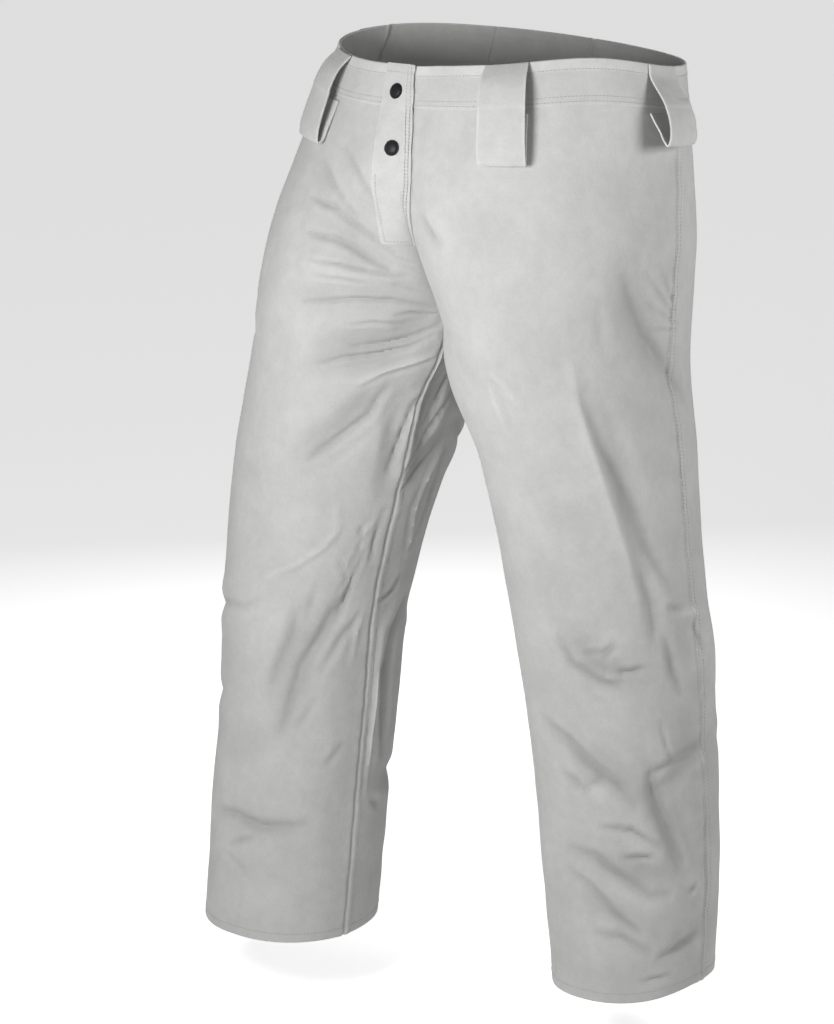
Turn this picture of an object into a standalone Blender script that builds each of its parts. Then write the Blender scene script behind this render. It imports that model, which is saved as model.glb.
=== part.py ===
"""Pale split-leather work trousers, filled out as worn, with drop belt loops and a snap fly.

Frame: metres, +Z up, front towards -Y, the wearer's left towards +X.  The origin is the
middle of the waist opening, at the height of the band's top edge.

The outer face of the cloth is worked out from level sections of each side.  A place on it is
a share of the way round one side (0 at the front seam, 1 at the side seam, 2 at the back
seam) and a height.  Every piece is made from such places, moved in or out.
"""

import math
from typing import NamedTuple

import bmesh
import bpy
import numpy as np
from mathutils import Matrix, Vector

# Driving sizes, in metres.
LEATHER = 0.0020            # one layer of split leather
SEAM_GAP = 0.0003           # clearance between pieces sewn together
CROTCH = -0.265             # height of the crotch point
HEM = -0.975                # height of the legs' lower edge
CROTCH_RISE = 0.150         # height of the curved part of the crotch seam
MIDDLE_Y = -0.100           # the crotch point, front to back
INSEAM_DRIFT = 0.250        # below the crotch, where the inseam reaches the leg's own middle
PARTING = 0.100             # below the crotch, where the legs have come fully apart
CALM = 0.040                # round the crotch point, where no fold starts
BAND_DEPTH = 0.042          # waistband, top to lower seam
BAND_THICKNESS = 0.0034     # two layers
BAND_PROUD = 0.0007         # its outer face, beyond the panels' outer face
HEM_TURNING = 0.016         # leather turned up inside the hem
HEM_THICKNESS = 0.0036      # two layers
RIM_FADE = 0.160            # below the rim, where its unevenness has died out
HEM_FADE = 0.200            # above the hem, the same
PLACKET_DROP = 0.186        # the fly placket ends at the last row above this
CAP_RADIUS = 0.0083         # snap caps
CAP_HEIGHT = 0.0030
CAP_RIM = 0.0014            # width of the flat rim round a cap's dome

LEATHER_COLOUR = (0.60, 0.60, 0.585, 1.0)
SNAP_COLOUR = (0.012, 0.012, 0.013, 1.0)

# Shares of the way round at which the cloth has a column of points.
FRONT = (0.0, 0.035, 0.075, 0.135, 0.21, 0.29, 0.365, 0.44, 0.51, 0.58, 0.65, 0.72, 0.79, 0.86,
         0.93, 1.0)
BACK = (1.0, 1.07, 1.14, 1.21, 1.28, 1.35, 1.42, 1.50, 1.57, 1.64, 1.71, 1.78, 1.85, 1.905, 2.0)
COLUMNS = FRONT + BACK[1:]
PLACKET_SHARES = FRONT[:4]
SNAP_SHARE = FRONT[2]
SIDE_SEAM = len(FRONT) - 1
QUARTER = 60                # fine points in a quarter of a section


class Section(NamedTuple):
    """One level section of one side."""

    height: float       # above the waist
    centre_x: float     # from the middle plane to the section's centre
    centre_y: float     # behind the origin
    half_width: float   # centre to side, and to the inseam below the crotch
    front: float        # centre to front
    back: float         # centre to back


class Middle(NamedTuple):
    """Where the middle plane cuts the hips, outside the curve of the crotch."""

    height: float
    front: float
    back: float


class Seams(NamedTuple):
    """Where the seams run, measured along the section from where they would be without it."""

    height: float
    middle: float       # front and back seams, clockwise round the body seen from above
    inseam: float       # inseams, forward
    side: float         # side seams, backward


class Lift(NamedTuple):
    """How far the rim or a hem stands above its level, at a share of the way round."""

    share: float
    rim: float
    hem: float


class Corner(NamedTuple):
    """How far the front's inner corner is eased into one slope, from 0 to 1."""

    height: float
    left: float
    right: float


LEFT_SIDE = (
    Section(0.000, 0.0200, 0.004, 0.1790, 0.145, 0.125),
    Section(-0.050, 0.0300, -0.004, 0.1790, 0.156, 0.130),
    Section(-0.110, 0.0500, -0.014, 0.1680, 0.168, 0.138),
    Section(-0.180, 0.0850, -0.026, 0.1400, 0.168, 0.145),
    Section(-0.240, 0.1030, -0.032, 0.1200, 0.160, 0.143),
    Section(-0.305, 0.1120, -0.034, 0.1120, 0.146, 0.136),
    Section(-0.400, 0.1300, -0.028, 0.1030, 0.130, 0.126),
    Section(-0.500, 0.1460, -0.024, 0.1000, 0.118, 0.113),
    Section(-0.600, 0.1620, -0.018, 0.0970, 0.108, 0.104),
    Section(-0.700, 0.1730, -0.014, 0.0950, 0.102, 0.101),
    Section(-0.800, 0.1850, -0.016, 0.0910, 0.097, 0.099),
    Section(-0.900, 0.1950, -0.022, 0.0880, 0.092, 0.094),
    Section(-0.975, 0.2040, -0.030, 0.0820, 0.088, 0.090),
)
RIGHT_SIDE = (
    Section(0.000, 0.0200, 0.004, 0.1800, 0.145, 0.125),
    Section(-0.050, 0.0300, -0.004, 0.1820, 0.156, 0.130),
    Section(-0.110, 0.0500, -0.016, 0.1760, 0.170, 0.138),
    Section(-0.180, 0.0850, -0.034, 0.1520, 0.174, 0.145),
    Section(-0.240, 0.1060, -0.050, 0.1330, 0.168, 0.145),
    Section(-0.305, 0.1220, -0.064, 0.1220, 0.152, 0.140),
    Section(-0.400, 0.1440, -0.088, 0.1140, 0.130, 0.130),
    Section(-0.500, 0.1610, -0.108, 0.1060, 0.112, 0.110),
    Section(-0.600, 0.1730, -0.120, 0.0980, 0.102, 0.100),
    Section(-0.700, 0.1800, -0.124, 0.0950, 0.098, 0.096),
    Section(-0.800, 0.1890, -0.128, 0.0950, 0.094, 0.096),
    Section(-0.900, 0.1980, -0.130, 0.0950, 0.092, 0.094),
    Section(-0.975, 0.2050, -0.132, 0.0950, 0.092, 0.094),
)
MIDDLE = (
    Middle(0.000, -0.144, 0.129),
    Middle(-0.060, -0.160, 0.128),
    Middle(-0.120, -0.173, 0.126),
    Middle(-0.180, -0.167, 0.120),
    Middle(-0.265, -0.150, 0.105),
)
CORNERS = (
    Corner(-0.140, 0.00, 0.00),
    Corner(-0.200, 0.70, 0.35),
    Corner(-0.250, 0.95, 0.50),
    Corner(-0.300, 0.77, 0.45),
    Corner(-0.360, 0.60, 0.40),
    Corner(-0.400, 0.60, 0.35),
    Corner(-0.440, 0.42, 0.30),
    Corner(-0.500, 0.22, 0.15),
    Corner(-0.620, 0.00, 0.00),
)
SEAMS = (
    Seams(0.000, 0.006, 0.000, 0.020),
    Seams(-0.060, -0.005, 0.000, 0.020),
    Seams(-0.120, -0.017, 0.000, 0.022),
    Seams(-0.180, -0.018, 0.000, 0.026),
    Seams(-0.225, -0.009, 0.000, 0.028),
    Seams(-0.265, 0.000, 0.000, 0.030),
    Seams(-0.360, 0.000, 0.028, 0.030),
    Seams(-0.450, 0.000, 0.024, 0.026),
    Seams(-0.550, 0.000, 0.018, 0.020),
    Seams(-0.650, 0.000, 0.015, 0.018),
    Seams(-0.975, 0.000, 0.015, 0.016),
)
LEFT_LIFT = (
    Lift(0.00, 0.000, -0.004),
    Lift(0.30, 0.010, -0.004),
    Lift(0.65, 0.020, 0.000),
    Lift(1.00, 0.002, 0.007),
    Lift(1.50, -0.004, 0.000),
    Lift(2.00, -0.002, -0.004),
)
RIGHT_LIFT = (
    Lift(0.00, 0.000, -0.006),
    Lift(0.30, -0.003, -0.006),
    Lift(0.65, 0.002, -0.007),
    Lift(1.00, 0.004, -0.002),
    Lift(1.50, 0.000, 0.000),
    Lift(2.00, -0.002, -0.006),
)


class Fold(NamedTuple):
    """A soft trough (depth below zero) or ridge, through three places on one side."""

    side: int
    start: tuple        # share, height
    middle: tuple
    end: tuple
    width: float        # from the deepest line to where it has died out
    depth: float


LEFT, RIGHT = 1, -1
FOLDS = (
    # The wearer's right hip, running in towards the fly and the crotch.
    Fold(RIGHT, (0.26, -0.090), (0.19, -0.125), (0.13, -0.158), 0.024, -0.0035),
    Fold(RIGHT, (0.37, -0.105), (0.28, -0.132), (0.21, -0.155), 0.024, -0.0040),
    Fold(RIGHT, (0.37, -0.146), (0.22, -0.161), (0.12, -0.191), 0.026, -0.0050),
    Fold(RIGHT, (0.35, -0.178), (0.22, -0.187), (0.12, -0.214), 0.030, -0.0065),
    Fold(RIGHT, (0.40, -0.247), (0.24, -0.242), (0.06, -0.245), 0.026, -0.0050),
    Fold(RIGHT, (0.30, -0.297), (0.15, -0.291), (0.04, -0.268), 0.028, -0.0080),
    Fold(RIGHT, (0.34, -0.320), (0.18, -0.316), (0.05, -0.295), 0.022, -0.0050),
    Fold(RIGHT, (0.30, -0.420), (0.19, -0.388), (0.11, -0.348), 0.032, -0.0065),
    # Along the right inseam and behind it.
    Fold(RIGHT, (0.06, -0.360), (0.05, -0.410), (0.05, -0.460), 0.020, -0.0050),
    Fold(RIGHT, (1.96, -0.330), (1.95, -0.380), (1.95, -0.440), 0.022, -0.0060),
    Fold(RIGHT, (1.84, -0.405), (1.90, -0.430), (1.97, -0.462), 0.024, -0.0060),
    # The right knee and calf.
    Fold(RIGHT, (0.24, -0.590), (0.30, -0.640), (0.35, -0.690), 0.024, -0.0050),
    Fold(RIGHT, (0.11, -0.575), (0.24, -0.655), (0.31, -0.730), 0.030, -0.0070),
    Fold(RIGHT, (0.55, -0.843), (0.38, -0.848), (0.20, -0.846), 0.024, -0.0040),
    Fold(RIGHT, (1.86, -0.800), (1.75, -0.810), (1.60, -0.800), 0.024, -0.0060),
    # The left hip and thigh.
    Fold(LEFT, (0.80, -0.200), (0.89, -0.265), (1.02, -0.330), 0.036, -0.0070),
    Fold(LEFT, (0.67, -0.320), (0.74, -0.405), (0.84, -0.500), 0.032, -0.0065),
    Fold(LEFT, (0.64, -0.310), (0.67, -0.405), (0.74, -0.500), 0.030, 0.0035),
    # The left knee and calf.
    Fold(LEFT, (0.56, -0.580), (0.63, -0.615), (0.74, -0.632), 0.028, -0.0060),
    Fold(LEFT, (1.08, -0.570), (1.10, -0.615), (1.10, -0.660), 0.040, 0.0060),
    Fold(LEFT, (0.43, -0.680), (0.60, -0.720), (0.76, -0.762), 0.030, -0.0065),
    Fold(LEFT, (1.02, -0.702), (0.91, -0.720), (0.82, -0.742), 0.026, -0.0060),
    Fold(LEFT, (0.83, -0.755), (0.87, -0.795), (0.94, -0.835), 0.026, -0.0060),
    Fold(LEFT, (0.50, -0.815), (0.68, -0.836), (0.86, -0.858), 0.030, -0.0065),
    Fold(LEFT, (0.49, -0.850), (0.60, -0.875), (0.75, -0.905), 0.024, -0.0045),
    Fold(LEFT, (0.82, -0.928), (0.90, -0.920), (1.00, -0.905), 0.024, -0.0050),
    # Behind: under the seat, behind the knees and down the calves.
    Fold(LEFT, (1.88, -0.290), (1.72, -0.305), (1.50, -0.335), 0.032, -0.0070),
    Fold(LEFT, (1.90, -0.345), (1.76, -0.385), (1.62, -0.440), 0.030, -0.0060),
    Fold(LEFT, (1.32, -0.595), (1.50, -0.612), (1.70, -0.598), 0.030, -0.0070),
    Fold(LEFT, (1.36, -0.665), (1.52, -0.678), (1.66, -0.668), 0.026, -0.0050),
    Fold(LEFT, (1.24, -0.790), (1.42, -0.825), (1.62, -0.842), 0.028, -0.0055),
    Fold(RIGHT, (1.86, -0.285), (1.70, -0.310), (1.48, -0.328), 0.032, -0.0070),
    Fold(RIGHT, (1.88, -0.340), (1.74, -0.372), (1.58, -0.415), 0.030, -0.0060),
    Fold(RIGHT, (1.30, -0.610), (1.50, -0.622), (1.70, -0.606), 0.030, -0.0070),
    Fold(RIGHT, (1.38, -0.540), (1.52, -0.552), (1.66, -0.544), 0.026, -0.0050),
    Fold(RIGHT, (1.20, -0.760), (1.36, -0.800), (1.50, -0.850), 0.028, -0.0055),
)


def smooth(x):
    """Eases 0 to 1, flat at both ends."""
    x = np.clip(x, 0.0, 1.0)
    return x * x * (3.0 - 2.0 * x)


def cubic(table, column, place, key="height"):
    """A smooth curve through one column of a table."""
    keys = np.array([getattr(row, key) for row in table])
    values = np.array([getattr(row, column) for row in table])
    if keys[0] > keys[-1]:
        keys, values = keys[::-1], values[::-1]
    slopes = np.gradient(values, keys)
    i = int(np.clip(np.searchsorted(keys, place, side="right") - 1, 0, len(table) - 2))
    span = keys[i + 1] - keys[i]
    s = (np.clip(place, keys[0], keys[-1]) - keys[i]) / span
    return ((2 * s**3 - 3 * s**2 + 1) * values[i] + (s**3 - 2 * s**2 + s) * span * slopes[i]
            + (3 * s**2 - 2 * s**3) * values[i + 1] + (s**3 - s**2) * span * slopes[i + 1])


def quarter(angle, exponent=2.2):
    """A quarter of a slightly squared circle."""
    c = np.abs(np.cos(angle)) ** (2 / exponent)
    s = np.abs(np.sin(angle)) ** (2 / exponent)
    return c, s


def half_ring(side, height, back):
    """Inner edge to side, of the front or the back half of one side's section."""
    table = LEFT_SIDE if side > 0 else RIGHT_SIDE
    cx = cubic(table, "centre_x", height)
    cy = cubic(table, "centre_y", height)
    half = cubic(table, "half_width", height)
    depth = cubic(table, "back", height) if back else -cubic(table, "front", height)
    above = height - CROTCH
    s = np.linspace(0, 1, QUARTER)
    c, q = quarter(s * math.pi / 2)
    inner = cx
    if above < 0:
        parting = smooth(-above / PARTING)
        inner = (cx + 0.06 * above) * (1 - parting) + half * parting
    y_in = MIDDLE_Y + (cy - MIDDLE_Y) * smooth(-above / INSEAM_DRIFT)
    inside = np.stack([cx - inner * c, y_in + (cy - y_in) * smooth(s) + depth * q], 1)
    if above > 0:
        edge = min(above / CROTCH_RISE, 1) ** 0.6
        weight = edge + (smooth(above / CROTCH_RISE) - edge) * smooth(s / 0.3)
        middle = cubic(MIDDLE, "back" if back else "front", height)
        hip = middle + (cy + depth - middle) * smooth(1 - c)
        inside[:, 1] += (hip - inside[:, 1]) * weight
    if not back:
        start, end = inside[0].copy(), inside[-1].copy()
        gone = (inside[:, 0] - start[0]) / (end[0] - start[0])
        slope = start[1] + (end[1] - start[1]) * np.sin(gone * math.pi / 2)
        eased = cubic(CORNERS, "left" if side > 0 else "right", height)
        inside[:, 1] += (slope - inside[:, 1]) * eased
    q, c = quarter(s * math.pi / 2)
    outside = np.stack([cx + half * c, cy + depth * q], 1)
    return np.concatenate([inside[:-1], outside])


def loop(side, height):
    """One side's section as a fine line, front edge to back edge, its running length, and the
    length at which it passes the side."""
    front = half_ring(side, height, False)
    back = half_ring(side, height, True)[::-1]
    points = np.concatenate([front, back[1:]])
    steps = np.linalg.norm(np.diff(points, axis=0), axis=1)
    run = np.concatenate([[0], np.cumsum(steps)])
    points = np.stack([side * points[:, 0], points[:, 1]], 1)
    return points, run, run[len(front) - 1]


def at(side, height, lengths):
    """Points of the section at running lengths, which may pass the middle or the inseam."""
    points, run, _ = loop(side, height)
    total = run[-1]
    if height > CROTCH:
        other, far, _ = loop(-side, height)
        points = np.concatenate([other[:0:-1], points, other[-2::-1]])
        run = np.concatenate([-far[:0:-1], run, total + (far[-1] - far[-2::-1])])
    else:
        points = np.concatenate([points[:-1], points, points[1:]])
        run = np.concatenate([run[:-1] - total, run, run[1:] + total])
    x = np.interp(lengths, run, points[:, 0])
    y = np.interp(lengths, run, points[:, 1])
    return np.stack([x, y], 1)


def seam_to_seam(side, height):
    """Running lengths at the front edge, the side seam and the back edge."""
    _, run, passing = loop(side, height)
    back = cubic(SEAMS, "side", height)
    if height > CROTCH:
        slip = -side * cubic(SEAMS, "middle", height)
    else:
        slip = cubic(SEAMS, "inseam", height)
    return slip, passing + back, run[-1] + slip


def steady_length(side, height, half):
    """Length of a panel's section, without the cut of the crotch curve."""
    low, high = CROTCH, CROTCH + CROTCH_RISE
    if not low < height < high:
        edges = seam_to_seam(side, height)
        return edges[half + 1] - edges[half]
    below = seam_to_seam(side, low)
    above = seam_to_seam(side, high)
    t = smooth((height - low) / (high - low))
    return (below[half + 1] - below[half]) * (1 - t) + (above[half + 1] - above[half]) * t


def level(side, height, shares):
    """Points of one side at one height.  Near the side seam the columns keep their spacing
    past the crotch curve, and those near the inner edges close up."""
    edges = seam_to_seam(side, height)
    lengths = []
    for share in shares:
        half = 0 if share <= 1 else 1
        steady = steady_length(side, height, half)
        real = edges[half + 1] - edges[half]
        away = abs(share - 1)
        reach = steady * away
        if away > 0.5:
            reach = steady * 0.5 + (real - steady * 0.5) * (away - 0.5) / 0.5
        lengths.append(edges[1] - reach if half == 0 else edges[1] + reach)
    return at(side, height, np.array(lengths))


def lift(side, share, height):
    """How far a place stands above its level near the rim and the hem."""
    table = LEFT_LIFT if side > 0 else RIGHT_LIFT
    rim = cubic(table, "rim", share, "share") * smooth(1 + height / RIM_FADE)
    hem = cubic(table, "hem", share, "share") * smooth(1 - (height - HEM) / HEM_FADE)
    return rim + hem


def from_line(fold, share, height, reach):
    """Distance of a place from a fold's line, and how far along the line it is."""
    marks = (fold.start, fold.middle, fold.end)
    places = [np.array([(p[0] - share) * reach, p[1] - height]) for p in marks]
    lengths = [float(np.linalg.norm(places[k + 1] - places[k])) for k in (0, 1)]
    best = (9.0, 0.0)
    for k in (0, 1):
        step = places[k + 1] - places[k]
        t = float(np.clip(-places[k] @ step / (step @ step), 0, 1))
        gone = float(np.linalg.norm(places[k] + t * step))
        best = min(best, (gone, (sum(lengths[:k]) + t * lengths[k]) / sum(lengths)))
    return best


def relief(side, share, height, reach):
    """How far the folds push a place out.  A fold is felt across the seam it ends at."""
    total = 0.0
    above = height > CROTCH + 1e-6
    for fold in FOLDS:
        if fold.side == side:
            shares = (share,) if above else (share, share - 2, share + 2)
        else:
            shares = (-share, 4 - share) if above else ()
        for seen in shares:
            gone, along = from_line(fold, seen, height, reach)
            if gone < fold.width:
                taper = math.sin(math.pi * (0.08 + 0.84 * along)) ** 0.7
                total += fold.depth * taper * float(smooth(1 - gone / fold.width))
    near = math.hypot(min(share, 2 - share) * reach, height - CROTCH)
    return total * float(smooth(near / CALM))


def sheet_of(side, heights):
    """One side of the plain surface as a grid of points, rows by columns."""
    grid = np.zeros((len(heights), len(COLUMNS), 3))
    for i, height in enumerate(heights):
        grid[i, :, :2] = level(side, height, COLUMNS)
        grid[i, :, 2] = [height + lift(side, share, height) for share in COLUMNS]
    return grid


def outward(grids, side, heights):
    """Unit normals of one side, taken across its seams to whatever it is sewn to."""
    own, other = grids[side], grids[-side]
    above = (np.array(heights) > CROTCH + 1e-6)[:, None]
    before = np.where(above, other[:, 1], own[:, -2])[:, None]
    after = np.where(above, other[:, -2], own[:, 1])[:, None]
    wide = np.concatenate([before, own, after], axis=1)
    around = wide[:, 2:] - wide[:, :-2]
    up = np.empty_like(own)
    up[1:-1] = own[2:] - own[:-2]
    up[0] = own[1] - own[0]
    up[-1] = own[-1] - own[-2]
    normals = side * np.cross(around, up)
    return normals / np.linalg.norm(normals, axis=2)[:, :, None]


def folded(heights):
    """Both sides with their folds: points and normals."""
    plain = {side: sheet_of(side, heights) for side in (1, -1)}
    points = {}
    for side in (1, -1):
        normals = outward(plain, side, heights)
        push = np.zeros(plain[side].shape[:2])
        for i, height in enumerate(heights):
            for j, share in enumerate(COLUMNS):
                reach = steady_length(side, height, 0 if share <= 1 else 1)
                push[i, j] = relief(side, share, height, reach)
        points[side] = plain[side] + normals * push[:, :, None]
    return points, {side: outward(points, side, heights) for side in (1, -1)}


def panel_heights():
    """Rows of the panels, hem to band.  In the crotch curve they are spaced by its turn."""
    turned = [HEM, HEM + HEM_TURNING / 2, HEM + HEM_TURNING, HEM + HEM_TURNING + 0.002]
    legs = list(np.linspace(HEM + 0.040, CROTCH, 24))
    curve = [CROTCH + CROTCH_RISE * (k / 10) ** 1.7 for k in range(1, 11)]
    hips = list(np.linspace(curve[-1], -BAND_DEPTH - SEAM_GAP / 2, 6))[1:]
    return turned + legs + curve + hips


def new_object(name, vertices, faces, colour):
    """A closed solid, its faces turned outwards, with its own material."""
    mesh = bpy.data.meshes.new(name)
    mesh.from_pydata([tuple(v) for v in vertices], [], faces)
    work = bmesh.new()
    work.from_mesh(mesh)
    bmesh.ops.remove_doubles(work, verts=work.verts, dist=0.00001)
    bmesh.ops.recalc_face_normals(work, faces=work.faces)
    bmesh.ops.triangulate(work, faces=work.faces)
    work.to_mesh(mesh)
    work.free()
    material = bpy.data.materials.new(name)
    material.use_nodes = True
    shader = material.node_tree.nodes["Principled BSDF"]
    shader.inputs["Base Color"].default_value = colour
    shader.inputs["Roughness"].default_value = 0.9 if colour == LEATHER_COLOUR else 0.35
    mesh.materials.append(material)
    body = bpy.data.objects.new(name, mesh)
    bpy.context.scene.collection.objects.link(body)
    return body


def wall(name, outer, inner, rising=False, colour=LEATHER_COLOUR):
    """A solid between two grids of points.  Rising: the quads are cut along the diagonal that
    climbs with the columns, otherwise along the other one."""
    rows, cols = outer.shape[:2]
    vertices = np.concatenate([outer.reshape(-1, 3), inner.reshape(-1, 3)])
    far = rows * cols

    def number(i, j, side):
        return side * far + i * cols + j

    faces = []
    for i in range(rows - 1):
        for j in range(cols - 1):
            a, b, c, d = (i, j), (i, j + 1), (i + 1, j + 1), (i + 1, j)
            for ring in ((a, b, c), (a, c, d)) if rising else ((a, b, d), (b, c, d)):
                faces.append([number(m, n, 0) for m, n in ring])
                faces.append([number(m, n, 1) for m, n in reversed(ring)])
    border = [(0, j) for j in range(cols)]
    border += [(i, cols - 1) for i in range(1, rows)]
    border += [(rows - 1, j) for j in range(cols - 2, -1, -1)]
    border += [(i, 0) for i in range(rows - 2, 0, -1)]
    for k, (i, j) in enumerate(border):
        m, n = border[(k + 1) % len(border)]
        faces.append([number(i, j, 0), number(i, j, 1), number(m, n, 1), number(m, n, 0)])
    return new_object(name, vertices, faces, colour)


def sideways(grid, j, into):
    """Unit direction from one column towards its neighbour."""
    step = grid[:, j + into] - grid[:, j]
    return step / np.linalg.norm(step, axis=1)[:, None]


def parted(grid, side, heights, first, last):
    """The columns of one panel, drawn back from the seams around it."""
    part = grid[:, first:last + 1].copy()
    half = SEAM_GAP / 2
    part[:, :, 0] += side * half
    below = (np.array(heights) <= CROTCH + 1e-6)[:, None]
    if first > 0:
        part[:, 0] += half * sideways(grid, first, 1)
        part[:, -1] += np.where(below, half * sideways(grid, last, -1), 0)
    else:
        part[:, 0] += np.where(below, half * sideways(grid, 0, 1), 0)
        part[:, -1] += half * sideways(grid, last, -1)
    return part


def make_panels(heights, points, normals):
    thick = np.where(np.array(heights) <= HEM + HEM_TURNING + 1e-6, HEM_THICKNESS, LEATHER)
    for side, word in ((1, "left"), (-1, "right")):
        inside = points[side] - normals[side] * thick[:, None, None]
        for end, first, last in (("front", 0, SIDE_SEAM), ("back", SIDE_SEAM, len(COLUMNS) - 1)):
            outer = parted(points[side], side, heights, first, last)
            gap = outer - points[side][:, first:last + 1]
            wall(f"{end}_{word}_panel", outer, inside[:, first:last + 1] + gap, end == "back")


class Skin(NamedTuple):
    """Columns of points and normals, band and panel together, that other pieces lie on."""

    heights: list
    points: dict
    normals: dict

    def place(self, side, share, height, out):
        j = COLUMNS.index(share)
        keys = self.heights
        point = np.array([np.interp(height, keys, self.points[side][:, j, k]) for k in range(3)])
        normal = np.array([np.interp(height, keys, self.normals[side][:, j, k])
                           for k in range(3)])
        return point + normal / np.linalg.norm(normal) * out


def make_band(points, normals, rows):
    """Waistband: two front pieces, two side-back pieces and the middle back piece."""
    split = COLUMNS.index(1.50)
    outer = {s: points[s] + normals[s] * BAND_PROUD for s in (1, -1)}
    inner = {s: outer[s] - normals[s] * BAND_THICKNESS for s in (1, -1)}
    for side, word in ((1, "left"), (-1, "right")):
        for name, first, last in (("front", 0, SIDE_SEAM), ("side_back", SIDE_SEAM, split)):
            shell = []
            for grid in (outer[side], inner[side]):
                part = grid[:, first:last + 1].copy()
                start = sideways(grid, first, 1) * SEAM_GAP / 2
                end = sideways(grid, last, -1) * SEAM_GAP / 2
                part[:, 0] += start
                part[:, -1] += end
                shell.append(part)
            wall(f"waistband_{name}_{word}", *shell)
    shell = []
    for pair in (outer, inner):
        left = pair[1][:, split:].copy()
        right = pair[-1][:, split:].copy()
        left[:, 0] += sideways(pair[1], split, 1) * SEAM_GAP / 2
        right[:, 0] += sideways(pair[-1], split, 1) * SEAM_GAP / 2
        shell.append(np.concatenate([left, right[:, -2::-1]], axis=1))
    wall("waistband_back", *shell)


def make_placket(skin):
    """Fly placket, from the rim down, lying on the right front up to the front seam."""
    heights = [h for h in skin.heights if h > -PLACKET_DROP]
    shell = []
    for out in (SEAM_GAP + LEATHER, SEAM_GAP):
        grid = [[skin.place(-1, share, height, out) for share in PLACKET_SHARES]
                for height in heights]
        shell.append(np.array(grid))
    wall("fly_placket", *shell)


class Strap(NamedTuple):
    """One point along a belt loop's middle line."""

    drop: float         # below the rim
    out: float          # away from the band or panel


FLAT_LOOP = (
    Strap(0.0015, 0.0014), Strap(0.0080, 0.0055), Strap(0.0180, 0.0110), Strap(0.0320, 0.0142),
    Strap(0.0500, 0.0150), Strap(0.0680, 0.0142), Strap(0.0830, 0.0122), Strap(0.0912, 0.0082),
    Strap(0.0885, 0.0042), Strap(0.0760, 0.0028), Strap(0.0620, 0.0020), Strap(0.0470, 0.0014),
)
GAPING_LOOP = (
    Strap(0.0015, 0.0014), Strap(0.0120, 0.0022), Strap(0.0240, 0.0100), Strap(0.0360, 0.0195),
    Strap(0.0480, 0.0270), Strap(0.0600, 0.0310), Strap(0.0715, 0.0310), Strap(0.0775, 0.0272),
    Strap(0.0740, 0.0225), Strap(0.0650, 0.0160), Strap(0.0560, 0.0085), Strap(0.0475, 0.0022),
)


def make_belt_loop(name, skin, columns, strap, swing=(1.0, 1.0, 1.0)):
    """A strap sewn at the rim, folded below the band and sewn again at the band's seam.  Swing:
    how far each of its columns stands off, of the full distance."""
    line = np.array([[p.out, -p.drop] for p in strap])
    way = np.gradient(line, axis=0)
    way /= np.linalg.norm(way, axis=1)[:, None]
    across = np.stack([-way[:, 1], way[:, 0]], 1) * LEATHER / 2
    shell = []
    for face in (line + across, line - across):
        grid = []
        for out, z in face:
            grid.append([skin.place(side, share, z, SEAM_GAP + (out - SEAM_GAP) * part)
                         for (side, share), part in zip(columns, swing)])
        shell.append(np.array(grid))
    wall(name, *shell)


def make_snap(name, skin, height):
    """A domed cap with a flat rim, lying on the placket."""
    on_placket = SEAM_GAP + LEATHER
    base = skin.place(-1, SNAP_SHARE, height, on_placket)
    axis = skin.place(-1, SNAP_SHARE, height, 1.0) - base
    axis /= np.linalg.norm(axis)
    rise = 0.0
    for share in PLACKET_SHARES[1:]:
        for step in (-CAP_RADIUS, 0.0, CAP_RADIUS):
            away = skin.place(-1, share, height + step, on_placket) - base
            flat = np.linalg.norm(away - axis * (away @ axis))
            if flat > 0:
                rise = max(rise, float(away @ axis) * min(1.0, CAP_RADIUS / flat))
    base = base + axis * (rise + SEAM_GAP)
    axis = Vector(axis)
    turn = axis.to_track_quat("Z", "Y").to_matrix().to_4x4()
    profile = [(CAP_RADIUS, 0.0), (CAP_RADIUS, 0.0009), (CAP_RADIUS - CAP_RIM, 0.0012)]
    dome = CAP_RADIUS - CAP_RIM
    for k in (1, 2):
        angle = math.pi / 6 * k
        profile.append((dome * math.cos(angle), 0.0012 + (CAP_HEIGHT - 0.0012) * math.sin(angle)))
    segments = 20
    vertices = []
    for radius, z in profile:
        for k in range(segments):
            angle = 2 * math.pi * k / segments
            vertices.append((radius * math.cos(angle), radius * math.sin(angle), z))
    top = len(vertices)
    vertices.append((0, 0, CAP_HEIGHT))
    faces = [list(range(segments))[::-1]]
    for ring in range(len(profile) - 1):
        for k in range(segments):
            m = (k + 1) % segments
            a, b = ring * segments, (ring + 1) * segments
            faces.append([a + k, a + m, b + m, b + k])
    a = (len(profile) - 1) * segments
    faces += [[a + k, a + (k + 1) % segments, top] for k in range(segments)]
    placed = Matrix.Translation(Vector(base)) @ turn
    new_object(name, [placed @ Vector(v) for v in vertices], faces, SNAP_COLOUR)


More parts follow.
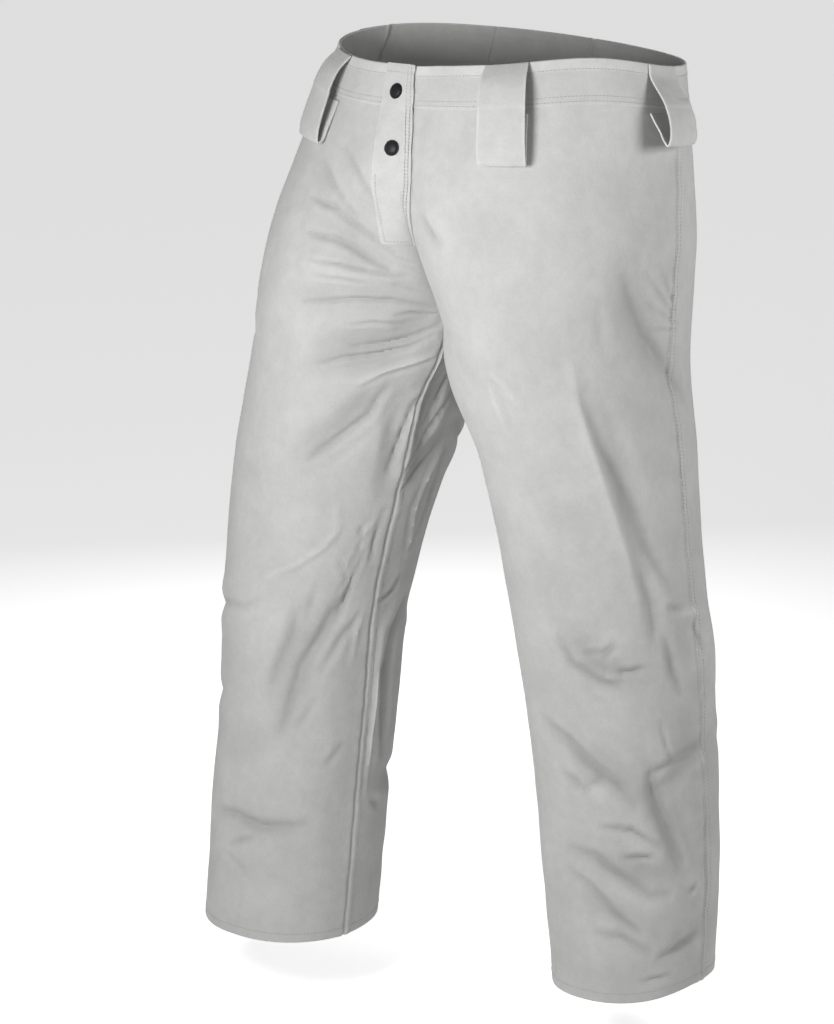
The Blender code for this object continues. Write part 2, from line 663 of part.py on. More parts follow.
def main():
    for old in list(bpy.data.objects):
        bpy.data.objects.remove(old)
    heights = panel_heights()
    points, normals = folded(heights)
    make_panels(heights, points, normals)
    rows = [-BAND_DEPTH + SEAM_GAP / 2, -BAND_DEPTH / 2, 0.0]
    band_points, band_normals = folded([heights[-1]] + rows)
    band_points = {s: band_points[s][1:] for s in (1, -1)}
    band_normals = {s: band_normals[s][1:] for s in (1, -1)}
    make_band(band_points, band_normals, rows)
    skin = Skin(
        heights + rows,
        {s: np.concatenate([points[s], band_points[s] + band_normals[s] * BAND_PROUD])
         for s in (1, -1)},
        {s: np.concatenate([normals[s], band_normals[s]]) for s in (1, -1)},
    )
    make_placket(skin)
    for side, word, front in ((1, "left", (0.29, 0.365, 0.44)), (-1, "right", (0.365, 0.44, 0.51))):
        ahead = [(side, share) for share in front]
        make_belt_loop(f"belt_loop_front_{word}", skin, ahead, FLAT_LOOP)
        beside = [(side, share) for share in (0.86, 0.93, 1.0)]
        make_belt_loop(f"belt_loop_side_{word}", skin, beside, GAPING_LOOP, (1.0, 0.9, 0.75))
    behind = [(1, 1.905), (1, 2.0), (-1, 1.905)]
    make_belt_loop("belt_loop_back", skin, behind, FLAT_LOOP)
    make_snap("snap_upper", skin, -0.027)
    make_snap("snap_lower", skin, -0.083)


main()
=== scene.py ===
"""Looks of the pale split-leather work trousers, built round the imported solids.

The cloth is made again on the solids' own form, as thin shells with finer creases, turned
edges, stitching and snap caps.  A place on the cloth is a share of the way round one side
(0 front seam or inseam, 1 side seam, 2 back seam or inseam) and a height above the waist.
"""

import logging
import math
from collections.abc import Sequence
from dataclasses import dataclass, field
from enum import Enum

import bmesh
import bpy
import numpy as np
from mathutils import Matrix, Vector, noise

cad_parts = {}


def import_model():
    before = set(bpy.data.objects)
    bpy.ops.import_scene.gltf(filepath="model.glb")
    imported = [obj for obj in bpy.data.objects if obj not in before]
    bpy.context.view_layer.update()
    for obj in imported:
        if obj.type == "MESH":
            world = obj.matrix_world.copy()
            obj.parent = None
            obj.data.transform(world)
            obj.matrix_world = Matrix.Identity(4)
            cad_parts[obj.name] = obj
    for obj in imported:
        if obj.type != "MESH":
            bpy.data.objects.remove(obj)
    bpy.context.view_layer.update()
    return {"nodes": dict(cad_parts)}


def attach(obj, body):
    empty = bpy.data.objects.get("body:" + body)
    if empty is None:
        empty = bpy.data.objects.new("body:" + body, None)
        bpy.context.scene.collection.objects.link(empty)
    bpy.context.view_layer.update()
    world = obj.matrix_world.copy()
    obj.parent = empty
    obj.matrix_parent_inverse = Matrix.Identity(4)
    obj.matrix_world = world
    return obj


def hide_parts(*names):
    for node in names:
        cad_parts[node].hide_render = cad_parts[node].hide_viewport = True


log = logging.getLogger("trousers")

BAND_DEPTH = 0.0420      # the waistband's height
BAND_PROUD = 0.0007      # how far the band stands off the panels' face
SEAM_GAP = 0.0003        # clearance under what lies on the cloth
STRIP_LEATHER = 0.0020   # thickness of the placket and the belt loops
NEARLY = 1e-6            # closer than this counts as the same place


class Side(Enum):
    """The wearer's side of the garment, which is also the sign of its x."""

    LEFT = 1
    RIGHT = -1

    @property
    def other(self) -> "Side":
        """The opposite side."""
        return Side.RIGHT if self is Side.LEFT else Side.LEFT

    @property
    def word(self) -> str:
        """The side's name in the pieces' names."""
        return self.name.lower()


@dataclass(frozen=True)
class Section:
    """One level section of one side."""

    height: float
    centre_x: float
    centre_y: float
    half_width: float
    front: float
    back: float


@dataclass(frozen=True)
class Middle:
    """Where the middle plane cuts the hips, outside the curve of the crotch."""

    height: float
    front: float
    back: float


@dataclass(frozen=True)
class Seams:
    """How far the seams stray, measured along the section."""

    height: float
    middle: float
    inseam: float
    side: float


@dataclass(frozen=True)
class Lift:
    """How far the rim or a hem stands above its level."""

    share: float
    rim: float
    hem: float


@dataclass(frozen=True)
class Corner:
    """How far the front's inner corner is eased into one slope, from 0 to 1."""

    height: float
    left: float
    right: float


@dataclass(frozen=True)
class Fold:
    """A trough (depth below zero) or ridge along places on one side, soft or sharp."""

    side: Side
    places: tuple[tuple[float, float], ...]
    width: float
    depth: float
    lip: float = 0.0                # share of the depth that is raised beside it
    calm: float = 0.040             # distance from the crotch over which it dies out
    sharp: bool = False


@dataclass(frozen=True)
class FoldShape:
    """How every fold swells along its line and falls off beside it."""

    spread: float = 2.2             # widths beyond which a fold isn't felt
    ends: float = 0.08              # how far into its half wave a fold begins
    taper: float = 0.7              # below 1, its depth is kept nearer to its ends
    far_lip: float = 0.4            # share of the lip on the other side
    crease_shade_depth: float = 0.0030      # a sharp fold of this depth gets the darkest painted shade
    ridge_highlight_most: float = 0.5          # the most painted highlight that a sharp ridge gets
    traced_calm: float = 0.010      # calm, for creases seen in the photograph
    facing_least: float = -0.2      # cloth turned further away isn't seen
    depth_weight: float = 12.0      # keeps a mark on the cloth that is nearest


@dataclass(frozen=True)
class HideWaves:
    """The hide's slow waves: their depth, their count for each metre, and where they grow."""

    wide_depth: float = 0.0021
    wide_count: float = 9.0
    fine_depth: float = 0.0007
    fine_count: float = 27.0
    least: float = 0.55             # strength at the waist
    growth: float = 0.75            # what is added at the hems
    grows_below: float = -0.45      # height where that begins
    grows_over: float = 0.35        # height over which it grows
    at_seams: float = 0.15          # what is left of them at a seam
    seam_share: float = 0.05


@dataclass(frozen=True)
class SeamShape:
    """The small relief of a sewn seam, as depths and as distances beside it."""

    side_groove: float = 0.0011
    side_groove_width: float = 0.0016
    groove: float = 0.0015
    front_groove: float = 0.0006
    groove_width: float = 0.0018
    step: float = 0.0008            # the side seam's back edge, which lies on top
    step_width: float = 0.0105
    welt: float = 0.0007
    front_welt: float = 0.0004
    welt_width: float = 0.0095
    edge: float = 0.0008            # where the raised edge begins
    edge_width: float = 0.002       # how softly it begins and ends
    welt_edge_width: float = 0.003
    pucker: float = 0.00022
    pucker_pitch: float = 0.0021
    slow_pucker: float = 0.00050
    slow_pitch: float = 0.0062
    side_reach: float = 0.016       # how far puckers spread from a side seam
    inner_reach: float = 0.014      # and from an inseam or the middle
    inner_share: float = 0.8        # their strength along the inseam
    middle_share: float = 0.35      # and along the middle


@dataclass(frozen=True)
class SeenCrease:
    """A crease placed by points read off the photograph's frame."""

    side: Side
    marks: tuple[tuple[float, float], ...]
    width: float
    depth: float
    lip: float = 0.35


@dataclass(frozen=True)
class PhotoCamera:
    """The view of the photograph, with its frame of 834 by 1024."""

    azimuth: float = 42.0
    elevation: float = 15.5
    focal: float = 4091.0
    distance: float = 4.30
    origin: tuple[float, float] = (512.0, 50.0)
    frame: tuple[float, float] = (834.0, 1024.0)
    sensor: float = 36.0

    def axes(self) -> tuple[np.ndarray, np.ndarray, np.ndarray]:
        """The camera's directions.

        Returns:
            Unit vectors to the right, upward, and back towards the camera.
        """
        a, e = math.radians(self.azimuth), math.radians(self.elevation)
        right = np.array([math.cos(a), math.sin(a), 0.0])
        back = np.array([math.sin(a) * math.cos(e), -math.cos(a) * math.cos(e), math.sin(e)])
        return right, np.cross(back, right), back

    def place(self) -> np.ndarray:
        """The camera's place.

        Returns:
            The point from which the origin shows at its point of the frame.
        """
        right, up, back = self.axes()
        across = (self.origin[0] - self.frame[0] / 2) / self.focal * self.distance
        rise = (self.frame[1] / 2 - self.origin[1]) / self.focal * self.distance
        return back * self.distance - right * across - up * rise

    def seen_at(self, points: np.ndarray) -> tuple[np.ndarray, np.ndarray]:
        """Where points show in the frame.

        Args:
            points: places, with their coordinates along the last axis.

        Returns:
            Frame coordinates along the last axis, and the distances in front of the camera.
        """
        right, up, back = self.axes()
        away = points - self.place()
        depth = -(away @ back)
        x = self.frame[0] / 2 + self.focal * (away @ right) / depth
        y = self.frame[1] / 2 - self.focal * (away @ up) / depth
        return np.stack([x, y], -1), depth

    def build(self) -> bpy.types.Object:
        """Adds the camera to the scene.

        Returns:
            The camera's object.
        """
        right, up, back = self.axes()
        bpy.ops.object.camera_add(location=tuple(self.place()))
        camera = bpy.context.object
        camera.name = "photo_camera"
        turn = Matrix((right, up, back)).transposed()
        camera.rotation_euler = turn.to_euler()
        camera.data.sensor_width = self.sensor
        camera.data.sensor_fit = "AUTO"
        camera.data.lens = self.focal * self.sensor / max(self.frame)
        camera.data.clip_end = 200.0
        bpy.context.scene.camera = camera
        return camera


def smooth(x: np.ndarray) -> np.ndarray:
    """Eases 0 to 1, flat at both ends."""
    x = np.clip(x, 0.0, 1.0)
    return x * x * (3.0 - 2.0 * x)


def running(points: np.ndarray) -> np.ndarray:
    """The length run along a line of points, from 0 at the first."""
    steps = np.linalg.norm(np.diff(points, axis=0), axis=1)
    return np.concatenate([[0], np.cumsum(steps)])


def at_lengths(where: np.ndarray, run: np.ndarray, rows: np.ndarray) -> np.ndarray:
    """The rows' values, such as points, at running lengths between theirs."""
    return np.stack([np.interp(where, run, column) for column in rows.T], 1)


def curve(keys: np.ndarray, values: np.ndarray, where: np.ndarray) -> np.ndarray:
    """A smooth curve through values.

    Args:
        keys: rising numbers that the values are spaced by.
        values: a number, or a row of numbers, for each key.
        where: one place along the keys, or many.

    Returns:
        The curve's value at each place.
    """
    slopes = np.gradient(values, keys, axis=0)
    i = np.clip(np.searchsorted(keys, where, side="right") - 1, 0, len(keys) - 2)
    span = keys[i + 1] - keys[i]
    s = (where - keys[i]) / span
    if values.ndim > 1:
        span, s = span[:, None], s[:, None]
    return ((2 * s**3 - 3 * s**2 + 1) * values[i] + (s**3 - 2 * s**2 + s) * span * slopes[i]
            + (3 * s**2 - 2 * s**3) * values[i + 1] + (s**3 - s**2) * span * slopes[i + 1])


def through(table: Sequence, column: str, place: np.ndarray, key: str = "height") -> np.ndarray:
    """A smooth curve through one column of a table.

    Args:
        table: rows with named columns.
        column: the column that is wanted.
        place: where along the key column, one number or many.
        key: the column that the rows are spaced by.

    Returns:
        The column's value at each place, held level beyond both ends.
    """
    keys = np.array([getattr(row, key) for row in table])
    values = np.array([getattr(row, column) for row in table])
    if keys[0] > keys[-1]:
        keys, values = keys[::-1], values[::-1]
    return curve(keys, values, np.clip(place, keys[0], keys[-1]))


@dataclass
class GarmentForm:
    """The outer face of the cloth as two fine grids, one for each side."""

    camera: PhotoCamera
    folds: tuple[Fold, ...]
    creases: tuple[SeenCrease, ...]
    crotch: float = -0.265          # height where the legs part
    hem: float = -0.975             # height of the legs' lower edge
    crotch_rise: float = 0.150      # height over which the hips take over
    crotch_cut: float = 0.6         # how steeply they do at the crotch
    crotch_share: float = 0.3       # how far round the crotch is felt
    squareness: float = 2.2         # 2 is an ellipse
    ring_points: int = 90           # points on each quarter of a section
    inseam_lean: float = 0.06       # how the inner edges draw apart
    middle_y: float = -0.100        # where the crotch seam lies, front to back
    inseam_drift: float = 0.250     # height over which inseams move from there
    parting: float = 0.100          # height over which the legs part
    rim_fade: float = 0.160         # how far down the rim's lift is felt
    hem_fade: float = 0.200         # how far up the hems' lift is felt
    row_step: float = 0.0033        # height of a row
    fine_step: float = 0.0019       # and of a row round the crotch
    creased_from: float = -0.390    # where the finer rows begin
    creased_to: float = -0.140      # and where they end
    column_step: float = 0.0105     # width of a column, as a share
    seam_columns: tuple[float, ...] = (0.0, 0.003, 0.007, 0.012, 0.019, 0.027, 0.037)
    fold_shape: FoldShape = FoldShape()
    waves: HideWaves = HideWaves()
    seam_shape: SeamShape = SeamShape()
    heights: np.ndarray = field(init=False)
    shares: np.ndarray = field(init=False)
    reach: dict[Side, np.ndarray] = field(init=False)
    points: dict[Side, np.ndarray] = field(init=False)
    normals: dict[Side, np.ndarray] = field(init=False)
    hollows: dict[Side, np.ndarray] = field(init=False)
    # Painted shade along sharp troughs and painted highlight along sharp ridges, for the leather's
    # colour.
    lines: dict[Side, np.ndarray] = field(init=False)

    def __post_init__(self) -> None:
        """Works out the grids."""
        rows = []
        for start, end, step in ((self.hem, self.creased_from, self.row_step),
                                 (self.creased_from, self.crotch, self.fine_step),
                                 (self.crotch, self.creased_to, self.fine_step),
                                 (self.creased_to, 0.0, self.row_step)):
            rows.append(np.linspace(start, end, int(abs(end - start) / step) + 1)[:-1])
        self.heights = np.concatenate([*rows, [0.0]])
        edge = list(self.seam_columns)
        count = int((1 - 2 * edge[-1]) / self.column_step)
        inner = np.linspace(edge[-1], 1 - edge[-1], count)[1:-1]
        half = np.concatenate([edge, inner, 1 - np.array(edge[::-1])])
        self.shares = np.concatenate([half, 1 + half[1:]])
        plain, self.reach = {}, {}
        for side in Side:
            plain[side], self.reach[side] = self.plain_grid(side)
        normals = {side: self.outward(plain, side) for side in Side}
        self.points, self.hollows, self.lines = {}, {}, {}
        for side in Side:
            drawn = [self.traced(crease, plain, normals) for crease in self.creases]
            push, self.lines[side] = self.relief(side, [*self.folds, *drawn])
            push = push + self.unevenness(side, plain[side]) + self.seam_relief(side)
            self.hollows[side] = push
            self.points[side] = plain[side] + normals[side] * push[:, :, None]
        self.normals = {side: self.outward(self.points, side) for side in Side}

    def quarter(self, angle: np.ndarray) -> tuple[np.ndarray, np.ndarray]:
        """A quarter of a slightly squared circle, as its two coordinates."""
        exponent = 2 / self.squareness
        return np.abs(np.cos(angle)) ** exponent, np.abs(np.sin(angle)) ** exponent

    def half_ring(self, side: Side, height: float, back: bool) -> np.ndarray:
        """Half of one side's section.

        Args:
            side: which side of the garment.
            height: the section's height.
            back: the back half rather than the front one.

        Returns:
            Points from the inner edge to the side, with x away from the middle plane.
        """
        table = SECTIONS[side]
        cx = through(table, "centre_x", height)
        cy = through(table, "centre_y", height)
        half = through(table, "half_width", height)
        depth = through(table, "back", height) if back else -through(table, "front", height)
        above = height - self.crotch
        s = np.linspace(0, 1, self.ring_points)
        c, q = self.quarter(s * math.pi / 2)
        inner = cx
        if above < 0:
            parting = smooth(-above / self.parting)
            inner = (cx + self.inseam_lean * above) * (1 - parting) + half * parting
        y_in = self.middle_y + (cy - self.middle_y) * smooth(-above / self.inseam_drift)
        inside = np.stack([cx - inner * c, y_in + (cy - y_in) * smooth(s) + depth * q], 1)
        if above > 0:
            edge = min(above / self.crotch_rise, 1) ** self.crotch_cut
            eased = smooth(above / self.crotch_rise)
            weight = edge + (eased - edge) * smooth(s / self.crotch_share)
            middle = through(MIDDLE, "back" if back else "front", height)
            hip = middle + (cy + depth - middle) * smooth(1 - c)
            inside[:, 1] += (hip - inside[:, 1]) * weight
        if not back:
            start, end = inside[0].copy(), inside[-1].copy()
            gone = (inside[:, 0] - start[0]) / (end[0] - start[0])
            slope = start[1] + (end[1] - start[1]) * np.sin(gone * math.pi / 2)
            inside[:, 1] += (slope - inside[:, 1]) * through(CORNERS, side.word, height)
        q, c = self.quarter(s * math.pi / 2)
        outside = np.stack([cx + half * c, cy + depth * q], 1)
        return np.concatenate([inside[:-1], outside])

    def loop(self, side: Side, height: float) -> tuple[np.ndarray, np.ndarray, float]:
        """One side's section as a fine line.

        Args:
            side: which side of the garment.
            height: the section's height.

        Returns:
            Its points from front edge to back edge, its running length, and the length at
            which it passes the side.
        """
        front = self.half_ring(side, height, False)
        back = self.half_ring(side, height, True)[::-1]
        points = np.concatenate([front, back[1:]])
        run = running(points)
        points = np.stack([side.value * points[:, 0], points[:, 1]], 1)
        return points, run, run[len(front) - 1]

    def at(self, side: Side, height: float, lengths: np.ndarray) -> np.ndarray:
        """Points of a section at running lengths, which may pass the middle or the inseam.

        Args:
            side: which side of the garment.
            height: the section's height.
            lengths: running lengths from the front edge.

        Returns:
            The points, level.
        """
        points, run, _ = self.loop(side, height)
        total = run[-1]
        if height > self.crotch:
            other, far, _ = self.loop(side.other, height)
            points = np.concatenate([other[:0:-1], points, other[-2::-1]])
            run = np.concatenate([-far[:0:-1], run, total + (far[-1] - far[-2::-1])])
        else:
            points = np.concatenate([points[:-1], points, points[1:]])
            run = np.concatenate([run[:-1] - total, run, run[1:] + total])
        return at_lengths(lengths, run, points)

    def seam_to_seam(self, side: Side, height: float) -> tuple[float, float, float]:
        """Where the seams cross a section.

        Args:
            side: which side of the garment.
            height: the section's height.

        Returns:
            Running lengths at the front edge, the side seam and the back edge.
        """
        _, run, passing = self.loop(side, height)
        back = through(SEAMS, "side", height)
        if height > self.crotch:
            slip = -side.value * through(SEAMS, "middle", height)
        else:
            slip = through(SEAMS, "inseam", height)
        return slip, passing + back, run[-1] + slip

    def steady_length(self, side: Side, height: float) -> np.ndarray:
        """Lengths of a section without the cut of the crotch curve.

        Args:
            side: which side of the garment.
            height: the section's height.

        Returns:
            The length of its front and that of its back.
        """
        low, high = self.crotch, self.crotch + self.crotch_rise
        if not low < height < high:
            return np.diff(self.seam_to_seam(side, height))
        below = np.diff(self.seam_to_seam(side, low))
        above = np.diff(self.seam_to_seam(side, high))
        t = smooth((height - low) / (high - low))
        return below * (1 - t) + above * t

    def level(self, side: Side, height: float) -> tuple[np.ndarray, np.ndarray]:
        """One row of a grid.

        Args:
            side: which side of the garment.
            height: the row's height.

        Returns:
            The row's points, level, and each point's steady length from seam to seam.
        """
        edges = self.seam_to_seam(side, height)
        half = (self.shares > 1).astype(int)
        steady = self.steady_length(side, height)[half]
        real = np.diff(edges)[half]
        away = np.abs(self.shares - 1)
        near = steady * away
        far = steady * 0.5 + (real - steady * 0.5) * (away - 0.5) / 0.5
        gone = np.where(away > 0.5, far, near)
        lengths = edges[1] + np.where(half == 0, -gone, gone)
        return self.at(side, height, lengths), steady

    def plain_grid(self, side: Side) -> tuple[np.ndarray, np.ndarray]:
        """One side without its folds.

        Args:
            side: which side of the garment.

        Returns:
            The grid of points, and each point's steady length from seam to seam.
        """
        grid = np.zeros((len(self.heights), len(self.shares), 3))
        reach = np.zeros(grid.shape[:2])
        rim = through(LIFTS[side], "rim", self.shares, "share")
        hem = through(LIFTS[side], "hem", self.shares, "share")
        for i, height in enumerate(self.heights):
            grid[i, :, :2], reach[i] = self.level(side, height)
            lifted = rim * smooth(1 + height / self.rim_fade)
            lifted = lifted + hem * smooth(1 - (height - self.hem) / self.hem_fade)
            grid[i, :, 2] = height + lifted
        return grid, reach

    def outward(self, grids: dict[Side, np.ndarray], side: Side) -> np.ndarray:
        """The cloth's directions outward, taken across its seams to whatever it is sewn to.

        Args:
            grids: the points of both sides.
            side: the side that is wanted.

        Returns:
            A unit normal for each of its points.
        """
        own, other = grids[side], grids[side.other]
        above = (self.heights > self.crotch + NEARLY)[:, None]
        before = np.where(above, other[:, 1], own[:, -2])[:, None]
        after = np.where(above, other[:, -2], own[:, 1])[:, None]
        wide = np.concatenate([before, own, after], axis=1)
        around = wide[:, 2:] - wide[:, :-2]
        up = np.empty_like(own)
        up[1:-1] = own[2:] - own[:-2]
        up[0] = own[1] - own[0]
        up[-1] = own[-1] - own[-2]
        normals = side.value * np.cross(around, up)
        return normals / np.linalg.norm(normals, axis=2)[:, :, None]

    def traced(self, crease: SeenCrease, plain: dict[Side, np.ndarray],
               normals: dict[Side, np.ndarray]) -> Fold:
        """Lays a crease seen in the photograph on the cloth.

        Args:
            crease: the crease, by points of the photograph's frame.
            plain: the grids of points of both sides.
            normals: their normals.

        Returns:
            The same crease by places on the cloth that faces the camera.
        """
        shape = self.fold_shape
        seen, depth = self.camera.seen_at(plain[crease.side])
        behind = (depth - depth.min()) * shape.depth_weight
        towards = self.camera.place() - plain[crease.side]
        facing = np.sum(towards * normals[crease.side], axis=2) > shape.facing_least
        places = []
        for mark in crease.marks:
            gone = np.linalg.norm(seen - np.array(mark), axis=2) + behind
            gone = np.where(facing, gone, np.inf)
            i, j = np.unravel_index(int(np.argmin(gone)), gone.shape)
            places.append((float(self.shares[j]), float(self.heights[i])))
        return Fold(crease.side, tuple(places), crease.width, crease.depth, crease.lip,
                    shape.traced_calm, sharp=True)

    def from_line(self, fold: Fold, shares: np.ndarray, heights: np.ndarray,
                  reach: np.ndarray) -> tuple[np.ndarray, np.ndarray, np.ndarray]:
        """How places lie beside a fold's line.

        Args:
            fold: the fold.
            shares: the places' shares.
            heights: their heights.
            reach: their steady lengths from seam to seam.

        Returns:
            Distance from the line, how far along it, and on which side of it.
        """
        marks = [np.stack([(s - shares) * reach, h - heights], -1) for s, h in fold.places]
        lengths = [np.linalg.norm(b - a, axis=-1) for a, b in zip(marks, marks[1:])]
        total = sum(lengths) + 1e-9
        best = np.full(shares.shape, np.inf)
        along = np.zeros(shares.shape)
        hand = np.ones(shares.shape)
        run = np.zeros(shares.shape)
        for a, b, length in zip(marks, marks[1:], lengths):
            step = b - a
            t = np.clip(-np.sum(a * step, -1) / (length**2 + 1e-12), 0, 1)
            gone = np.linalg.norm(a + t[..., None] * step, axis=-1)
            turn = np.sign(step[..., 0] * -a[..., 1] + step[..., 1] * a[..., 0])
            closer = gone < best
            best = np.where(closer, gone, best)
            along = np.where(closer, (run + t * length) / total, along)
            hand = np.where(closer, turn, hand)
            run = run + length
        return best, along, hand

    def relief(self, side: Side, folds: Sequence[Fold]) -> tuple[np.ndarray, np.ndarray]:
        """How far the folds push one side out.  A fold is felt across the seam it ends at.

        Args:
            side: the leg.
            folds: the folds of both legs.

        Returns:
            The push out, and how sharply the cloth is creased: painted shade below zero in a
            trough, painted highlight above zero on a ridge.
        """
        form = self.fold_shape
        total = np.zeros(self.reach[side].shape)
        lines = np.zeros(total.shape)
        shares = np.broadcast_to(self.shares, total.shape)
        heights = np.broadcast_to(self.heights[:, None], total.shape)
        above = heights > self.crotch + NEARLY
        everywhere = np.ones(total.shape, bool)
        inner = np.minimum(shares, 2 - shares) * self.reach[side]
        near = np.hypot(inner, heights - self.crotch)
        for fold in folds:
            spread = form.spread * fold.width
            tops = [h for _, h in fold.places]
            rows = (self.heights > min(tops) - spread) & (self.heights < max(tops) + spread)
            if not rows.any():
                continue
            if fold.side is side:
                views = ((shares, everywhere), (shares - 2, ~above), (shares + 2, ~above))
            else:
                views = ((-shares, above), (4 - shares, above))
            for seen, valid in views:
                gone, along, hand = self.from_line(fold, seen[rows], heights[rows],
                                                   self.reach[side][rows])
                within = form.ends + (1 - 2 * form.ends) * along
                taper = np.sin(math.pi * within) ** form.taper
                left = np.clip(1 - gone / fold.width, 0, 1)
                shape = left ** 2 if fold.sharp else smooth(left)
                if fold.lip:
                    beside = smooth(1 - np.abs(gone - fold.width) / fold.width)
                    beside = np.where(hand > 0, beside, form.far_lip * beside)
                    shape = shape - fold.lip * beside
                push = fold.depth * taper * shape * smooth(near[rows] / fold.calm)
                total[rows] += np.where(valid[rows], push, 0.0)
                # A sharp fold also paints shade along a trough and highlight along a ridge,
                # through the leather's colour.
                if fold.sharp:
                    strength = np.clip(fold.depth / form.crease_shade_depth, -1, form.ridge_highlight_most)
                    line = taper * left ** 2 * float(strength)
                    lines[rows] += np.where(valid[rows], line, 0.0)
        return total, lines

    def unevenness(self, side: Side, plain: np.ndarray) -> np.ndarray:
        """Slow, slight waves of the hide, stronger towards the hems.

        Args:
            side: which side of the garment.
            plain: its points without folds.

        Returns:
            The push out at each point.
        """
        hide = self.waves
        # Each side has its own part of the noise, and so have wide and fine waves.
        wide_start = Vector((side.value * 7.3, 0, 0))
        fine_start = Vector((0, side.value * 3.1, 5.0))
        push = np.zeros(plain.shape[:2])
        for i in range(plain.shape[0]):
            lower = smooth((hide.grows_below - self.heights[i]) / hide.grows_over)
            strength = hide.least + hide.growth * float(lower)
            for j in range(plain.shape[1]):
                p = Vector(plain[i, j])
                wide = noise.noise(p * hide.wide_count + wide_start)
                fine = noise.noise(p * hide.fine_count + fine_start)
                push[i, j] = (hide.wide_depth * wide + hide.fine_depth * fine) * strength
        seams = np.minimum(np.minimum(self.shares, 2 - self.shares), np.abs(self.shares - 1))
        return push * smooth(hide.at_seams + seams / hide.seam_share)

    def seam_relief(self, side: Side) -> np.ndarray:
        """The groove at each seam, the raised edge beside it and its small puckers.

        Args:
            side: which side of the garment.

        Returns:
            The push out at each point.
        """
        seam = self.seam_shape
        reach = self.reach[side]
        shares = np.broadcast_to(self.shares, reach.shape)
        heights = np.broadcast_to(self.heights[:, None], reach.shape)
        below = heights < self.crotch
        behind = shares > 1
        beside = np.abs(shares - 1) * reach
        inner = np.minimum(shares, 2 - shares) * reach
        total = -seam.side_groove * np.exp(-(beside / seam.side_groove_width) ** 2)
        sunk = np.where(below | behind, seam.groove, seam.front_groove)
        total = total - sunk * np.exp(-(inner / seam.groove_width) ** 2)
        step = smooth((beside - seam.edge) / seam.edge_width)
        step = step * smooth((seam.step_width - beside) / seam.edge_width)
        total = total + np.where(behind, seam.step, 0.0) * step
        welt = smooth((inner - seam.edge) / seam.edge_width)
        welt = welt * smooth((seam.welt_width - inner) / seam.welt_edge_width)
        total = total + np.where(below & behind, seam.welt, seam.front_welt) * welt
        # The puckers run a little fast and slow, and differ from side to side.
        beat = np.sin(heights / seam.pucker_pitch + 5.0 * np.sin(heights * 31.0) + side.value)
        slow = np.sin(heights / seam.slow_pitch + 3.0 * np.sin(heights * 17.0) - side.value)
        inner_share = np.where(below, seam.inner_share, seam.middle_share)
        held = np.exp(-(beside / seam.side_reach) ** 2)
        held = held + inner_share * np.exp(-(inner / seam.inner_reach) ** 2)
        return total + (seam.pucker * beat + seam.slow_pucker * slow) * held

    def place(self, side: Side, share: np.ndarray, height: np.ndarray,
              out: np.ndarray) -> tuple[np.ndarray, np.ndarray]:
        """Places on the cloth, moved in or out.

        Args:
            side: which side of the garment.
            share: how far round, seam to seam.
            height: how high.
            out: how far off the outer face.

        Returns:
            The points and their unit normals.
        """
        share, height, out = np.broadcast_arrays(share, height, out)
        h = np.clip(height, self.heights[0], self.heights[-1])
        i = np.clip(np.searchsorted(self.heights, h, side="right") - 1, 0, len(self.heights) - 2)
        j = np.clip(np.searchsorted(self.shares, share, side="right") - 1, 0,
                    len(self.shares) - 2)
        u = (share - self.shares[j]) / (self.shares[j + 1] - self.shares[j])
        v = (h - self.heights[i]) / (self.heights[i + 1] - self.heights[i])
        u, v = u[..., None], v[..., None]

        def between(grid: np.ndarray) -> np.ndarray:
            """The grid's value between its four nearest points.

            Args:
                grid: values at the cloth's points.

            Returns:
                A value for each place.
            """
            low = grid[i, j] * (1 - u) + grid[i, j + 1] * u
            high = grid[i + 1, j] * (1 - u) + grid[i + 1, j + 1] * u
            return low * (1 - v) + high * v

        normal = between(self.normals[side])
        normal = normal / np.linalg.norm(normal, axis=-1)[..., None]
        return between(self.points[side]) + normal * out[..., None], normal


LEFT_SIDE = (
    Section(0.000, 0.0200, 0.004, 0.1790, 0.145, 0.125),
    Section(-0.050, 0.0300, -0.004, 0.1790, 0.156, 0.130),
    Section(-0.110, 0.0500, -0.014, 0.1680, 0.168, 0.138),
    Section(-0.180, 0.0850, -0.026, 0.1400, 0.168, 0.145),
    Section(-0.240, 0.1030, -0.032, 0.1200, 0.160, 0.143),
    Section(-0.305, 0.1120, -0.034, 0.1120, 0.146, 0.136),
    Section(-0.400, 0.1300, -0.028, 0.1030, 0.130, 0.126),
    Section(-0.500, 0.1460, -0.024, 0.1000, 0.118, 0.113),
    Section(-0.600, 0.1620, -0.018, 0.0970, 0.108, 0.104),
    Section(-0.700, 0.1730, -0.014, 0.0950, 0.102, 0.101),
    Section(-0.800, 0.1850, -0.016, 0.0910, 0.097, 0.099),
    Section(-0.900, 0.1950, -0.022, 0.0880, 0.092, 0.094),
    Section(-0.975, 0.2040, -0.030, 0.0820, 0.088, 0.090),
)
